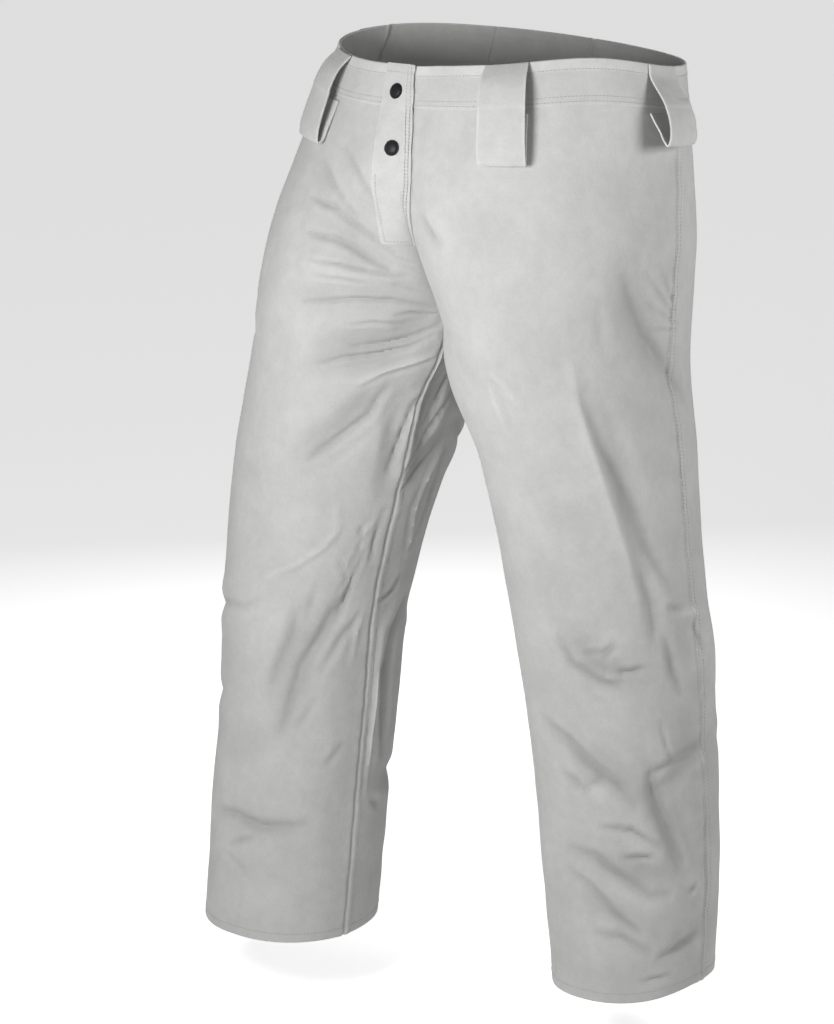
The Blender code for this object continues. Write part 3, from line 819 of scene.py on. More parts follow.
RIGHT_SIDE = (
    Section(0.000, 0.0200, 0.004, 0.1800, 0.145, 0.125),
    Section(-0.050, 0.0300, -0.004, 0.1820, 0.156, 0.130),
    Section(-0.110, 0.0500, -0.016, 0.1760, 0.170, 0.138),
    Section(-0.180, 0.0850, -0.034, 0.1520, 0.174, 0.145),
    Section(-0.240, 0.1060, -0.050, 0.1330, 0.168, 0.145),
    Section(-0.305, 0.1220, -0.064, 0.1220, 0.152, 0.140),
    Section(-0.400, 0.1440, -0.088, 0.1140, 0.130, 0.130),
    Section(-0.500, 0.1610, -0.108, 0.1060, 0.112, 0.110),
    Section(-0.600, 0.1730, -0.120, 0.0980, 0.102, 0.100),
    Section(-0.700, 0.1800, -0.124, 0.0950, 0.098, 0.096),
    Section(-0.800, 0.1890, -0.128, 0.0950, 0.094, 0.096),
    Section(-0.900, 0.1980, -0.130, 0.0950, 0.092, 0.094),
    Section(-0.975, 0.2050, -0.132, 0.0950, 0.092, 0.094),
)
SECTIONS = {Side.LEFT: LEFT_SIDE, Side.RIGHT: RIGHT_SIDE}
MIDDLE = (
    Middle(0.000, -0.144, 0.129),
    Middle(-0.060, -0.160, 0.128),
    Middle(-0.120, -0.173, 0.126),
    Middle(-0.180, -0.167, 0.120),
    Middle(-0.265, -0.150, 0.105),
)
CORNERS = (
    Corner(-0.140, 0.00, 0.00),
    Corner(-0.200, 0.70, 0.35),
    Corner(-0.250, 0.95, 0.50),
    Corner(-0.300, 0.77, 0.45),
    Corner(-0.360, 0.60, 0.40),
    Corner(-0.400, 0.60, 0.35),
    Corner(-0.440, 0.42, 0.30),
    Corner(-0.500, 0.22, 0.15),
    Corner(-0.620, 0.00, 0.00),
)
SEAMS = (
    Seams(0.000, 0.006, 0.000, 0.020),
    Seams(-0.060, -0.005, 0.000, 0.020),
    Seams(-0.120, -0.017, 0.000, 0.022),
    Seams(-0.180, -0.018, 0.000, 0.026),
    Seams(-0.225, -0.009, 0.000, 0.028),
    Seams(-0.265, 0.000, 0.000, 0.030),
    Seams(-0.360, 0.000, 0.028, 0.030),
    Seams(-0.450, 0.000, 0.024, 0.026),
    Seams(-0.550, 0.000, 0.018, 0.020),
    Seams(-0.650, 0.000, 0.015, 0.018),
    Seams(-0.975, 0.000, 0.015, 0.016),
)
LEFT_LIFT = (
    Lift(0.00, 0.000, -0.004),
    Lift(0.30, 0.010, -0.004),
    Lift(0.65, 0.020, 0.000),
    Lift(1.00, 0.002, 0.007),
    Lift(1.50, -0.004, 0.000),
    Lift(2.00, -0.002, -0.004),
)
RIGHT_LIFT = (
    Lift(0.00, 0.000, -0.006),
    Lift(0.30, -0.003, -0.006),
    Lift(0.65, 0.002, -0.007),
    Lift(1.00, 0.004, -0.002),
    Lift(1.50, 0.000, 0.000),
    Lift(2.00, -0.002, -0.006),
)
LIFTS = {Side.LEFT: LEFT_LIFT, Side.RIGHT: RIGHT_LIFT}
L, R = Side.LEFT, Side.RIGHT


def crisp(side: Side, places: tuple[tuple[float, float], ...], width: float,
          depth: float) -> Fold:
    """A sharp crease with a lip, for a side that the photograph hides."""
    return Fold(side, places, width, depth, lip=0.4, sharp=True)


FOLDS = (
    # The wearer's right hip, running in towards the fly and the crotch.
    Fold(R, ((0.26, -0.090), (0.19, -0.125), (0.13, -0.158)), 0.024, -0.0035),
    Fold(R, ((0.37, -0.105), (0.28, -0.132), (0.21, -0.155)), 0.024, -0.0040),
    Fold(R, ((0.37, -0.146), (0.22, -0.161), (0.12, -0.191)), 0.026, -0.0050),
    Fold(R, ((0.35, -0.178), (0.22, -0.187), (0.12, -0.214)), 0.030, -0.0065),
    Fold(R, ((0.40, -0.247), (0.24, -0.242), (0.06, -0.245)), 0.026, -0.0050),
    Fold(R, ((0.30, -0.297), (0.15, -0.291), (0.04, -0.268)), 0.028, -0.0080),
    Fold(R, ((0.34, -0.320), (0.18, -0.316), (0.05, -0.295)), 0.022, -0.0050),
    Fold(R, ((0.30, -0.420), (0.19, -0.388), (0.11, -0.348)), 0.032, -0.0065),
    # Along the right inseam and behind it.
    Fold(R, ((0.06, -0.360), (0.05, -0.410), (0.05, -0.460)), 0.020, -0.0050),
    Fold(R, ((1.96, -0.330), (1.95, -0.380), (1.95, -0.440)), 0.022, -0.0060),
    Fold(R, ((1.84, -0.405), (1.90, -0.430), (1.97, -0.462)), 0.024, -0.0060),
    # The right knee and calf.
    Fold(R, ((0.24, -0.590), (0.30, -0.640), (0.35, -0.690)), 0.024, -0.0050),
    Fold(R, ((0.11, -0.575), (0.24, -0.655), (0.31, -0.730)), 0.030, -0.0070),
    Fold(R, ((0.55, -0.843), (0.38, -0.848), (0.20, -0.846)), 0.024, -0.0040),
    Fold(R, ((1.86, -0.800), (1.75, -0.810), (1.60, -0.800)), 0.024, -0.0060),
    # The left hip and thigh.
    Fold(L, ((0.80, -0.200), (0.89, -0.265), (1.02, -0.330)), 0.036, -0.0070),
    Fold(L, ((0.67, -0.320), (0.74, -0.405), (0.84, -0.500)), 0.032, -0.0065),
    Fold(L, ((0.64, -0.310), (0.67, -0.405), (0.74, -0.500)), 0.030, 0.0035),
    # The left knee and calf.
    Fold(L, ((0.56, -0.580), (0.63, -0.615), (0.74, -0.632)), 0.028, -0.0060),
    Fold(L, ((1.08, -0.570), (1.10, -0.615), (1.10, -0.660)), 0.040, 0.0060),
    Fold(L, ((0.43, -0.680), (0.60, -0.720), (0.76, -0.762)), 0.030, -0.0065),
    Fold(L, ((1.02, -0.702), (0.91, -0.720), (0.82, -0.742)), 0.026, -0.0060),
    Fold(L, ((0.83, -0.755), (0.87, -0.795), (0.94, -0.835)), 0.026, -0.0060),
    Fold(L, ((0.50, -0.815), (0.68, -0.836), (0.86, -0.858)), 0.030, -0.0065),
    Fold(L, ((0.49, -0.850), (0.60, -0.875), (0.75, -0.905)), 0.024, -0.0045),
    Fold(L, ((0.82, -0.928), (0.90, -0.920), (1.00, -0.905)), 0.024, -0.0050),
    # Behind: under the seat, behind the knees and down the calves.
    Fold(L, ((1.88, -0.290), (1.72, -0.305), (1.50, -0.335)), 0.032, -0.0070),
    Fold(L, ((1.90, -0.345), (1.76, -0.385), (1.62, -0.440)), 0.030, -0.0060),
    Fold(L, ((1.32, -0.595), (1.50, -0.612), (1.70, -0.598)), 0.030, -0.0070),
    Fold(L, ((1.36, -0.665), (1.52, -0.678), (1.66, -0.668)), 0.026, -0.0050),
    Fold(L, ((1.24, -0.790), (1.42, -0.825), (1.62, -0.842)), 0.028, -0.0055),
    Fold(R, ((1.86, -0.285), (1.70, -0.310), (1.48, -0.328)), 0.032, -0.0070),
    Fold(R, ((1.88, -0.340), (1.74, -0.372), (1.58, -0.415)), 0.030, -0.0060),
    Fold(R, ((1.30, -0.610), (1.50, -0.622), (1.70, -0.606)), 0.030, -0.0070),
    Fold(R, ((1.38, -0.540), (1.52, -0.552), (1.66, -0.544)), 0.026, -0.0050),
    Fold(R, ((1.20, -0.760), (1.36, -0.800), (1.50, -0.850)), 0.028, -0.0055),
    # Finer ones behind and on the outer side of the right leg, which the photograph hides.
    crisp(L, ((1.86, -0.235), (1.72, -0.262), (1.60, -0.300)), 0.014, -0.0036),
    crisp(L, ((1.82, -0.405), (1.70, -0.455), (1.62, -0.520)), 0.014, -0.0036),
    crisp(L, ((1.28, -0.560), (1.42, -0.578), (1.58, -0.572)), 0.012, -0.0031),
    crisp(L, ((1.40, -0.635), (1.54, -0.642), (1.72, -0.630)), 0.012, -0.0031),
    crisp(L, ((1.18, -0.715), (1.34, -0.748), (1.52, -0.752)), 0.014, -0.0036),
    crisp(L, ((1.30, -0.868), (1.46, -0.884), (1.66, -0.872)), 0.012, -0.0031),
    crisp(L, ((1.58, -0.905), (1.72, -0.915), (1.84, -0.900)), 0.010, -0.0026),
    crisp(L, ((1.42, -0.120), (1.50, -0.170), (1.55, -0.225)), 0.018, -0.0025),
    crisp(R, ((1.84, -0.232), (1.70, -0.258), (1.56, -0.292)), 0.014, -0.0036),
    crisp(R, ((1.80, -0.398), (1.66, -0.440), (1.56, -0.500)), 0.014, -0.0036),
    crisp(R, ((1.34, -0.580), (1.50, -0.588), (1.64, -0.580)), 0.012, -0.0031),
    crisp(R, ((1.36, -0.650), (1.54, -0.660), (1.68, -0.644)), 0.012, -0.0031),
    crisp(R, ((1.16, -0.700), (1.30, -0.728), (1.48, -0.740)), 0.014, -0.0036),
    crisp(R, ((1.22, -0.872), (1.40, -0.890), (1.60, -0.880)), 0.012, -0.0031),
    crisp(R, ((0.62, -0.300), (0.78, -0.318), (0.96, -0.350)), 0.018, -0.0040),
    crisp(R, ((0.70, -0.220), (0.84, -0.250), (1.00, -0.262)), 0.016, -0.0032),
    crisp(R, ((0.60, -0.600), (0.76, -0.622), (0.95, -0.612)), 0.018, -0.0047),
    crisp(R, ((0.64, -0.700), (0.80, -0.735), (0.94, -0.790)), 0.016, -0.0040),
    crisp(R, ((1.04, -0.480), (1.14, -0.520), (1.26, -0.545)), 0.016, -0.0032),
    crisp(R, ((1.50, -0.110), (1.56, -0.165), (1.58, -0.220)), 0.018, -0.0025),
)
CREASES = (
    # Right hip, drawn in towards the fly.
    SeenCrease(R, ((322, 157), (340, 193), (355, 216)), 0.0074, -0.0025),
    SeenCrease(R, ((344, 146), (358, 171), (373, 198), (380, 220)), 0.0068, -0.0025),
    SeenCrease(R, ((310, 195), (333, 207), (355, 223), (373, 238), (391, 252)), 0.0068, -0.0034),
    SeenCrease(R, ((308, 232), (333, 239), (353, 247), (371, 261), (391, 274)), 0.0074, -0.0037),
    SeenCrease(R, ((312, 258), (340, 263), (362, 269), (394, 276), (407, 276)), 0.0050, -0.0025),
    SeenCrease(R, ((312, 275), (337, 279), (373, 284)), 0.0050, -0.0022),
    SeenCrease(R, ((393, 256), (414, 261)), 0.0037, -0.0016),
    SeenCrease(R, ((399, 264), (418, 270)), 0.0031, -0.0012),
    SeenCrease(R, ((396, 285), (424, 292)), 0.0037, -0.0016),
    # Right thigh, across to the crotch.
    SeenCrease(R, ((301, 301), (352, 300), (393, 301), (435, 306)), 0.0056, -0.0028),
    SeenCrease(R, ((350, 325), (376, 322), (405, 325)), 0.0050, -0.0025),
    SeenCrease(R, ((395, 318), (412, 313), (437, 314)), 0.0043, -0.0022),
    SeenCrease(R, ((354, 350), (388, 346), (414, 338), (440, 325)), 0.0068, -0.0034),
    SeenCrease(R, ((318, 365), (344, 359), (382, 357), (408, 350), (435, 335)), 0.0056, -0.0028),
    SeenCrease(R, ((361, 384), (382, 372), (399, 367), (433, 355)), 0.0056, 0.0028, 0.5),
    SeenCrease(R, ((309, 459), (339, 438), (371, 416), (388, 389)), 0.0081, -0.0034, 0.5),
    SeenCrease(R, ((265, 576), (301, 562), (326, 547), (337, 530), (339, 506)), 0.0068, 0.0022),
    SeenCrease(R, ((416, 399), (402, 436), (390, 472)), 0.0068, -0.0034),
    SeenCrease(R, ((363, 527), (358, 547), (348, 579)), 0.0056, -0.0022),
    SeenCrease(R, ((260, 448), (264, 493)), 0.0043, 0.0014),
    # The back of the right leg, seen between the legs.
    SeenCrease(R, ((446, 344), (436, 375), (425, 412), (414, 457)), 0.0050, -0.0025),
    SeenCrease(R, ((454, 387), (440, 414), (425, 442), (405, 472)), 0.0056, -0.0028),
    SeenCrease(R, ((442, 442), (424, 466), (403, 489)), 0.0050, -0.0025),
    SeenCrease(R, ((442, 450), (428, 478), (416, 506), (408, 553)), 0.0068, 0.0025),
    SeenCrease(R, ((446, 452), (432, 490), (420, 522), (410, 548)), 0.0068, -0.0031),
    SeenCrease(R, ((382, 631), (377, 681), (372, 732), (365, 795)), 0.0068, 0.0025),
    SeenCrease(R, ((405, 596), (393, 630), (386, 668), (383, 712), (382, 755)), 0.0150, -0.0065),
    SeenCrease(R, ((399, 575), (391, 592), (379, 602)), 0.0070, -0.0030),
    SeenCrease(R, ((449, 372), (439, 395), (430, 420)), 0.0050, -0.0025),
    # Right knee, calf and ankle.
    SeenCrease(R, ((226, 600), (245, 607), (262, 600)), 0.0090, -0.0019),
    SeenCrease(R, ((299, 610), (289, 641), (276, 666), (268, 691)), 0.0110, -0.0023),
    SeenCrease(R, ((317, 588), (312, 604), (306, 620)), 0.0090, -0.0019),
    SeenCrease(R, ((352, 590), (332, 618), (322, 638), (301, 669), (289, 702), (279, 732)),
               0.0120, -0.0034),
    SeenCrease(R, ((317, 696), (299, 727)), 0.0090, -0.0019),
    SeenCrease(R, ((342, 745), (327, 765)), 0.0090, -0.0019),
    SeenCrease(R, ((364, 552), (352, 580), (345, 602), (337, 619), (328, 636)), 0.0060, -0.0028),
    SeenCrease(R, ((371, 521), (359, 537), (352, 556)), 0.0050, 0.0020),
    SeenCrease(R, ((384, 508), (375, 532), (369, 562)), 0.0060, -0.0022),
    SeenCrease(R, ((364, 608), (358, 632), (352, 660)), 0.0060, 0.0018),
    SeenCrease(R, ((340, 560), (346, 580), (340, 592)), 0.0050, -0.0018),
    SeenCrease(R, ((362, 613), (342, 636), (322, 669)), 0.0090, -0.0028),
    SeenCrease(R, ((218, 805), (236, 816), (261, 828), (304, 826)), 0.0120, -0.0040),
    SeenCrease(R, ((230, 841), (253, 837)), 0.0080, -0.0025),
    SeenCrease(R, ((225, 849), (248, 871)), 0.0080, -0.0019),
    SeenCrease(R, ((372, 800), (378, 806)), 0.0090, -0.0034),
    # Left hip and thigh.
    SeenCrease(L, ((420, 214), (428, 230), (439, 245)), 0.0130, -0.0034, 0.2),
    SeenCrease(L, ((572, 365), (585, 427), (598, 468), (611, 506), (626, 549), (640, 596)),
               0.0130, 0.0028, 0.5),
    SeenCrease(L, ((579, 395), (598, 448), (615, 472), (632, 506), (649, 549), (670, 587)),
               0.0130, -0.0028, 0.3),
    SeenCrease(L, ((626, 280), (636, 312), (649, 338), (670, 372), (685, 399)), 0.0130, -0.0031),
    SeenCrease(L, ((493, 374), (505, 388), (519, 406)), 0.0080, 0.0019),
    SeenCrease(L, ((489, 387), (498, 408), (506, 429)), 0.0080, 0.0019),
    SeenCrease(L, ((600, 308), (602, 350)), 0.0130, -0.0012),
    SeenCrease(L, ((647, 272), (664, 300), (677, 322)), 0.0060, -0.0019),
    SeenCrease(L, ((660, 264), (670, 295), (678, 322)), 0.0060, -0.0019),
    SeenCrease(L, ((650, 303), (664, 315), (678, 326)), 0.0050, -0.0016),
    SeenCrease(L, ((652, 331), (665, 330), (678, 328)), 0.0050, -0.0016),
    SeenCrease(L, ((681, 179), (682, 222)), 0.0070, 0.0019),
    # Left knee and calf.
    SeenCrease(L, ((560, 640), (574, 666), (595, 680), (617, 690)), 0.0110, -0.0040),
    SeenCrease(L, ((620, 675), (633, 673), (646, 669)), 0.0080, -0.0028),
    SeenCrease(L, ((603, 660), (617, 646)), 0.0070, -0.0022),
    SeenCrease(L, ((543, 718), (566, 741), (589, 766), (615, 781), (635, 806)), 0.0120, -0.0043),
    SeenCrease(L, ((606, 828), (632, 832), (661, 847)), 0.0090, -0.0034),
    SeenCrease(L, ((626, 859), (655, 857)), 0.0080, -0.0031),
    SeenCrease(L, ((569, 847), (595, 857), (620, 875), (649, 895), (669, 895)), 0.0110, -0.0040),
    SeenCrease(L, ((569, 867), (592, 887), (615, 913), (640, 935)), 0.0090, -0.0031),
    SeenCrease(L, ((597, 931), (623, 938), (652, 953)), 0.0090, -0.0028),
    SeenCrease(L, ((661, 956), (698, 935)), 0.0090, -0.0034),
    SeenCrease(L, ((640, 983), (672, 976)), 0.0070, -0.0022),
    SeenCrease(L, ((698, 746), (672, 763), (652, 775)), 0.0090, -0.0037),
    SeenCrease(L, ((652, 781), (666, 818), (686, 861)), 0.0090, -0.0037),
    SeenCrease(L, ((695, 884), (689, 892)), 0.0080, -0.0031),
    SeenCrease(L, ((669, 606), (683, 609)), 0.0070, -0.0028),
    SeenCrease(L, ((680, 616), (700, 610)), 0.0130, 0.0028, 0.3),
    SeenCrease(L, ((692, 623), (701, 649)), 0.0080, -0.0028),
    SeenCrease(L, ((575, 793), (590, 786), (602, 800)), 0.0110, 0.0022),
    SeenCrease(L, ((650, 768), (655, 798), (668, 835), (682, 872)), 0.0220, -0.0070, 0.2),
    SeenCrease(L, ((565, 772), (583, 787), (604, 778)), 0.0120, -0.0040),
    SeenCrease(L, ((640, 575), (652, 605), (656, 640)), 0.0200, -0.0050, 0.2),
    SeenCrease(L, ((667, 640), (672, 668), (682, 690)), 0.0130, -0.0040, 0.2),
    SeenCrease(L, ((661, 720), (667, 745), (672, 762)), 0.0060, -0.0018),
    SeenCrease(L, ((585, 655), (602, 652), (614, 644)), 0.0060, -0.0018),
    SeenCrease(L, ((588, 672), (604, 680), (618, 681)), 0.0090, 0.0030),
)


class Ease(Enum):
    """How a value is stretched over a range."""

    STRAIGHT = "LINEAR"
    SOFT = "SMOOTHSTEP"


class Joining(Enum):
    """How two values are put together."""

    PRODUCT = "MULTIPLY"
    SUM = "ADD"


@dataclass(frozen=True)
class Noise:
    """A procedural noise: its features for each metre, its detail and its roughness."""

    scale: float
    detail: float = 2.0
    rough: float = 0.5


@dataclass
class Wiring:
    """Short ways to add nodes to a material or to the surroundings, and to join them."""

    tree: bpy.types.NodeTree

    def join(self, outlet: bpy.types.NodeSocket, inlet: bpy.types.NodeSocket) -> None:
        """Joins two sockets."""
        self.tree.links.new(outlet, inlet)

    def coordinates(self, kind: str = "Object") -> bpy.types.NodeSocket:
        """Places on the piece, or the directions of the surroundings."""
        return self.tree.nodes.new("ShaderNodeTexCoord").outputs[kind]

    def noise(self, kind: Noise) -> bpy.types.NodeSocket:
        """Adds a noise that lies on the piece.

        Args:
            kind: the noise's sizes.

        Returns:
            Its value.
        """
        texture = self.tree.nodes.new("ShaderNodeTexNoise")
        texture.inputs["Scale"].default_value = kind.scale
        texture.inputs["Detail"].default_value = kind.detail
        texture.inputs["Roughness"].default_value = kind.rough
        self.join(self.coordinates(), texture.inputs["Vector"])
        return texture.outputs["Fac"]

    def ranged(self, value: bpy.types.NodeSocket, low: float, high: float, start: float = 0.0,
               end: float = 1.0, ease: Ease = Ease.STRAIGHT) -> bpy.types.NodeSocket:
        """Stretches a value over a range.

        Args:
            value: what is stretched.
            low: the result at the start.
            high: the result at the end.
            start: the value that gives low.
            end: the value that gives high.
            ease: straight, or soft at both ends.

        Returns:
            The result, held level beyond both ends.
        """
        ramp = self.tree.nodes.new("ShaderNodeMapRange")
        ramp.interpolation_type = ease.value
        ramp.inputs["From Min"].default_value = start
        ramp.inputs["From Max"].default_value = end
        ramp.inputs["To Min"].default_value = low
        ramp.inputs["To Max"].default_value = high
        self.join(value, ramp.inputs["Value"])
        return ramp.outputs["Result"]

    def put_together(self, first: bpy.types.NodeSocket, second: bpy.types.NodeSocket,
                     how: Joining) -> bpy.types.NodeSocket:
        """Multiplies or adds two values.

        Args:
            first: one value.
            second: the other.
            how: as a product or as a sum.

        Returns:
            The result.
        """
        maths = self.tree.nodes.new("ShaderNodeMath")
        maths.operation = how.value
        self.join(first, maths.inputs[0])
        self.join(second, maths.inputs[1])
        return maths.outputs["Value"]

    def tones(self, value: bpy.types.NodeSocket, colour: Sequence[float], dark: float,
              light: float) -> bpy.types.NodeSocket:
        """Turns a value into tones of one colour.

        Args:
            value: what chooses the tone.
            colour: the middle tone.
            dark: the share of it at 0.
            light: the share of it at 1.

        Returns:
            The tone.
        """
        ramp = self.tree.nodes.new("ShaderNodeValToRGB")
        ramp.color_ramp.elements[0].color = (*[c * dark for c in colour], 1)
        ramp.color_ramp.elements[1].color = (*[c * light for c in colour], 1)
        self.join(value, ramp.inputs["Fac"])
        return ramp.outputs["Color"]

    def bump(self, height: bpy.types.NodeSocket, strength: float,
             distance: float) -> bpy.types.Node:
        """Adds fine relief.

        Args:
            height: the relief's height, from 0 to 1.
            strength: how much of it shows.
            distance: its depth.

        Returns:
            The node, whose normal is to be joined.
        """
        node = self.tree.nodes.new("ShaderNodeBump")
        node.inputs["Strength"].default_value = strength
        node.inputs["Distance"].default_value = distance
        self.join(height, node.inputs["Height"])
        return node


def new_material(name: str, settings: dict[str, float]) -> tuple[bpy.types.Material, Wiring,
                                                                 bpy.types.Node]:
    """Makes a material with its even values set.

    Args:
        name: the material's name.
        settings: the values that are the same all over, by the shader's own sockets.

    Returns:
        The material, its wiring and its shader.
    """
    material = bpy.data.materials.new(name)
    material.use_nodes = True
    shader = material.node_tree.nodes["Principled BSDF"]
    for socket, value in settings.items():
        shader.inputs[socket].default_value = value
    return material, Wiring(material.node_tree), shader


@dataclass(frozen=True)
class LeatherFinish:
    """Split leather with its short nap."""

    name: str = "split_leather"
    colour: tuple[float, float, float] = (0.60, 0.60, 0.590)
    mottle: float = 0.055
    roughness: float = 0.93
    gloss: float = 0.18
    nap: float = 0.22
    nap_spread: float = 0.55
    grain_depth: float = 0.00022
    grain_size: float = 0.0011
    clouds: Noise = Noise(22.0, 3.0, 0.55)
    patches: Noise = Noise(90.0, 4.0, 0.6)
    rubbing: Noise = Noise(140.0, 3.0)
    dents: Noise = Noise(120.0, 4.0, 0.55)
    noise_low: float = 0.32
    noise_high: float = 0.68
    # The colour's share at the attribute's ends: painted shade at -1, rubbed paleness and painted
    # highlight at 1.
    worn_dark: float = 0.74
    wear_and_highlight_pale: float = 1.10
    grain_strength: float = 0.55
    dent_strength: float = 0.5

    def build(self) -> bpy.types.Material:
        """Makes the material, with mottling, nap, scuffs and grain from its nodes.

        Returns:
            The material.
        """
        material, wiring, shader = new_material(self.name, {
            "Roughness": self.roughness, "Specular IOR Level": self.gloss,
            "Sheen Weight": self.nap, "Sheen Roughness": self.nap_spread})
        wiring.join(self.tint(wiring), shader.inputs["Base Color"])
        rough = self.spread(wiring, self.rubbing, self.roughness - 0.07,
                            min(1.0, self.roughness + 0.05))
        wiring.join(rough, shader.inputs["Roughness"])
        grain = wiring.noise(Noise(1 / self.grain_size, 6.0, 0.75))
        pores = wiring.bump(grain, self.grain_strength, self.grain_depth)
        dents = wiring.bump(wiring.noise(self.dents), self.dent_strength, self.grain_depth * 5)
        wiring.join(dents.outputs["Normal"], pores.inputs["Normal"])
        wiring.join(pores.outputs["Normal"], shader.inputs["Normal"])
        return material

    def spread(self, wiring: Wiring, kind: Noise, low: float,
               high: float) -> bpy.types.NodeSocket:
        """A noise stretched round its middle to run from low to high."""
        return wiring.ranged(wiring.noise(kind), low, high, self.noise_low, self.noise_high)

    def tint(self, wiring: Wiring) -> bpy.types.NodeSocket:
        """The leather's colour: cloudy, patchy, fibrous, paler where rubbed, with painted shade
        and painted highlight.

        Args:
            wiring: the material's wiring.

        Returns:
            The colour.
        """
        clouds = self.spread(wiring, self.clouds, 1 - self.mottle, 1 + self.mottle * 0.6)
        patches = self.spread(wiring, self.patches, 1 - self.mottle * 0.6, 1 + self.mottle * 0.5)
        fibres = self.spread(wiring, Noise(0.8 / self.grain_size, 5.0, 0.7), 0.93, 1.05)
        # Below zero this attribute paints shade in hollows, creases and on the band's inner face;
        # above zero it makes rubbed edges paler and paints highlight on ridges.
        wear = wiring.tree.nodes.new("ShaderNodeAttribute")
        wear.attribute_name = "wear"
        worn = wiring.ranged(wear.outputs["Fac"], self.worn_dark, self.wear_and_highlight_pale, -1.0, 1.0)
        shade = wiring.put_together(wiring.put_together(clouds, patches, Joining.PRODUCT),
                                    wiring.put_together(fibres, worn, Joining.PRODUCT),
                                    Joining.PRODUCT)
        tint = wiring.tree.nodes.new("ShaderNodeVectorMath")
        tint.operation = "SCALE"
        tint.inputs[0].default_value = self.colour
        wiring.join(shade, tint.inputs["Scale"])
        return tint.outputs["Vector"]


@dataclass(frozen=True)
class ThreadFinish:
    """Twisted sewing thread."""

    name: str = "sewing_thread"
    colour: tuple[float, float, float] = (0.47, 0.47, 0.465)
    roughness: float = 0.75
    gloss: float = 0.3
    twist: Noise = Noise(900.0)

    def build(self) -> bpy.types.Material:
        """Makes the material, with a fine change of tone along the thread.

        Returns:
            The material.
        """
        material, wiring, shader = new_material(self.name, {
            "Roughness": self.roughness, "Specular IOR Level": self.gloss})
        tone = wiring.tones(wiring.noise(self.twist), self.colour, 0.78, 1.12)
        wiring.join(tone, shader.inputs["Base Color"])
        return material


@dataclass(frozen=True)
class CapFinish:
    """Black enamelled metal of the snap caps, slightly rubbed."""

    name: str = "snap_enamel"
    colour: tuple[float, float, float] = (0.012, 0.012, 0.013)
    gloss: float = 0.16
    smoothest: float = 0.34
    roughest: float = 0.46
    rubbing: Noise = Noise(420.0, 4.0)

    def build(self) -> bpy.types.Material:
        """Makes the material, glossy with faint rubbing.

        Returns:
            The material.
        """
        material, wiring, shader = new_material(self.name, {"Specular IOR Level": self.gloss})
        rubbed_and_shaded = wiring.noise(self.rubbing)
        wiring.join(wiring.tones(rubbed_and_shaded, self.colour, 1.0, 2.2), shader.inputs["Base Color"])
        rough = wiring.ranged(rubbed_and_shaded, self.smoothest, self.roughest)
        wiring.join(rough, shader.inputs["Roughness"])
        return material


def deselect() -> None:
    """Leaves nothing selected."""
    for thing in list(bpy.context.selected_objects):
        thing.select_set(False)


def pick(piece: bpy.types.Object) -> None:
    """Selects one piece alone and makes it the active one.

    Args:
        piece: the piece.
    """
    deselect()
    piece.select_set(True)
    bpy.context.view_layer.objects.active = piece


def apply_all(piece: bpy.types.Object) -> None:
    """Applies a piece's modifiers in order.

    Args:
        piece: the piece.
    """
    pick(piece)
    for modifier in list(piece.modifiers):
        bpy.ops.object.modifier_apply(modifier=modifier.name)


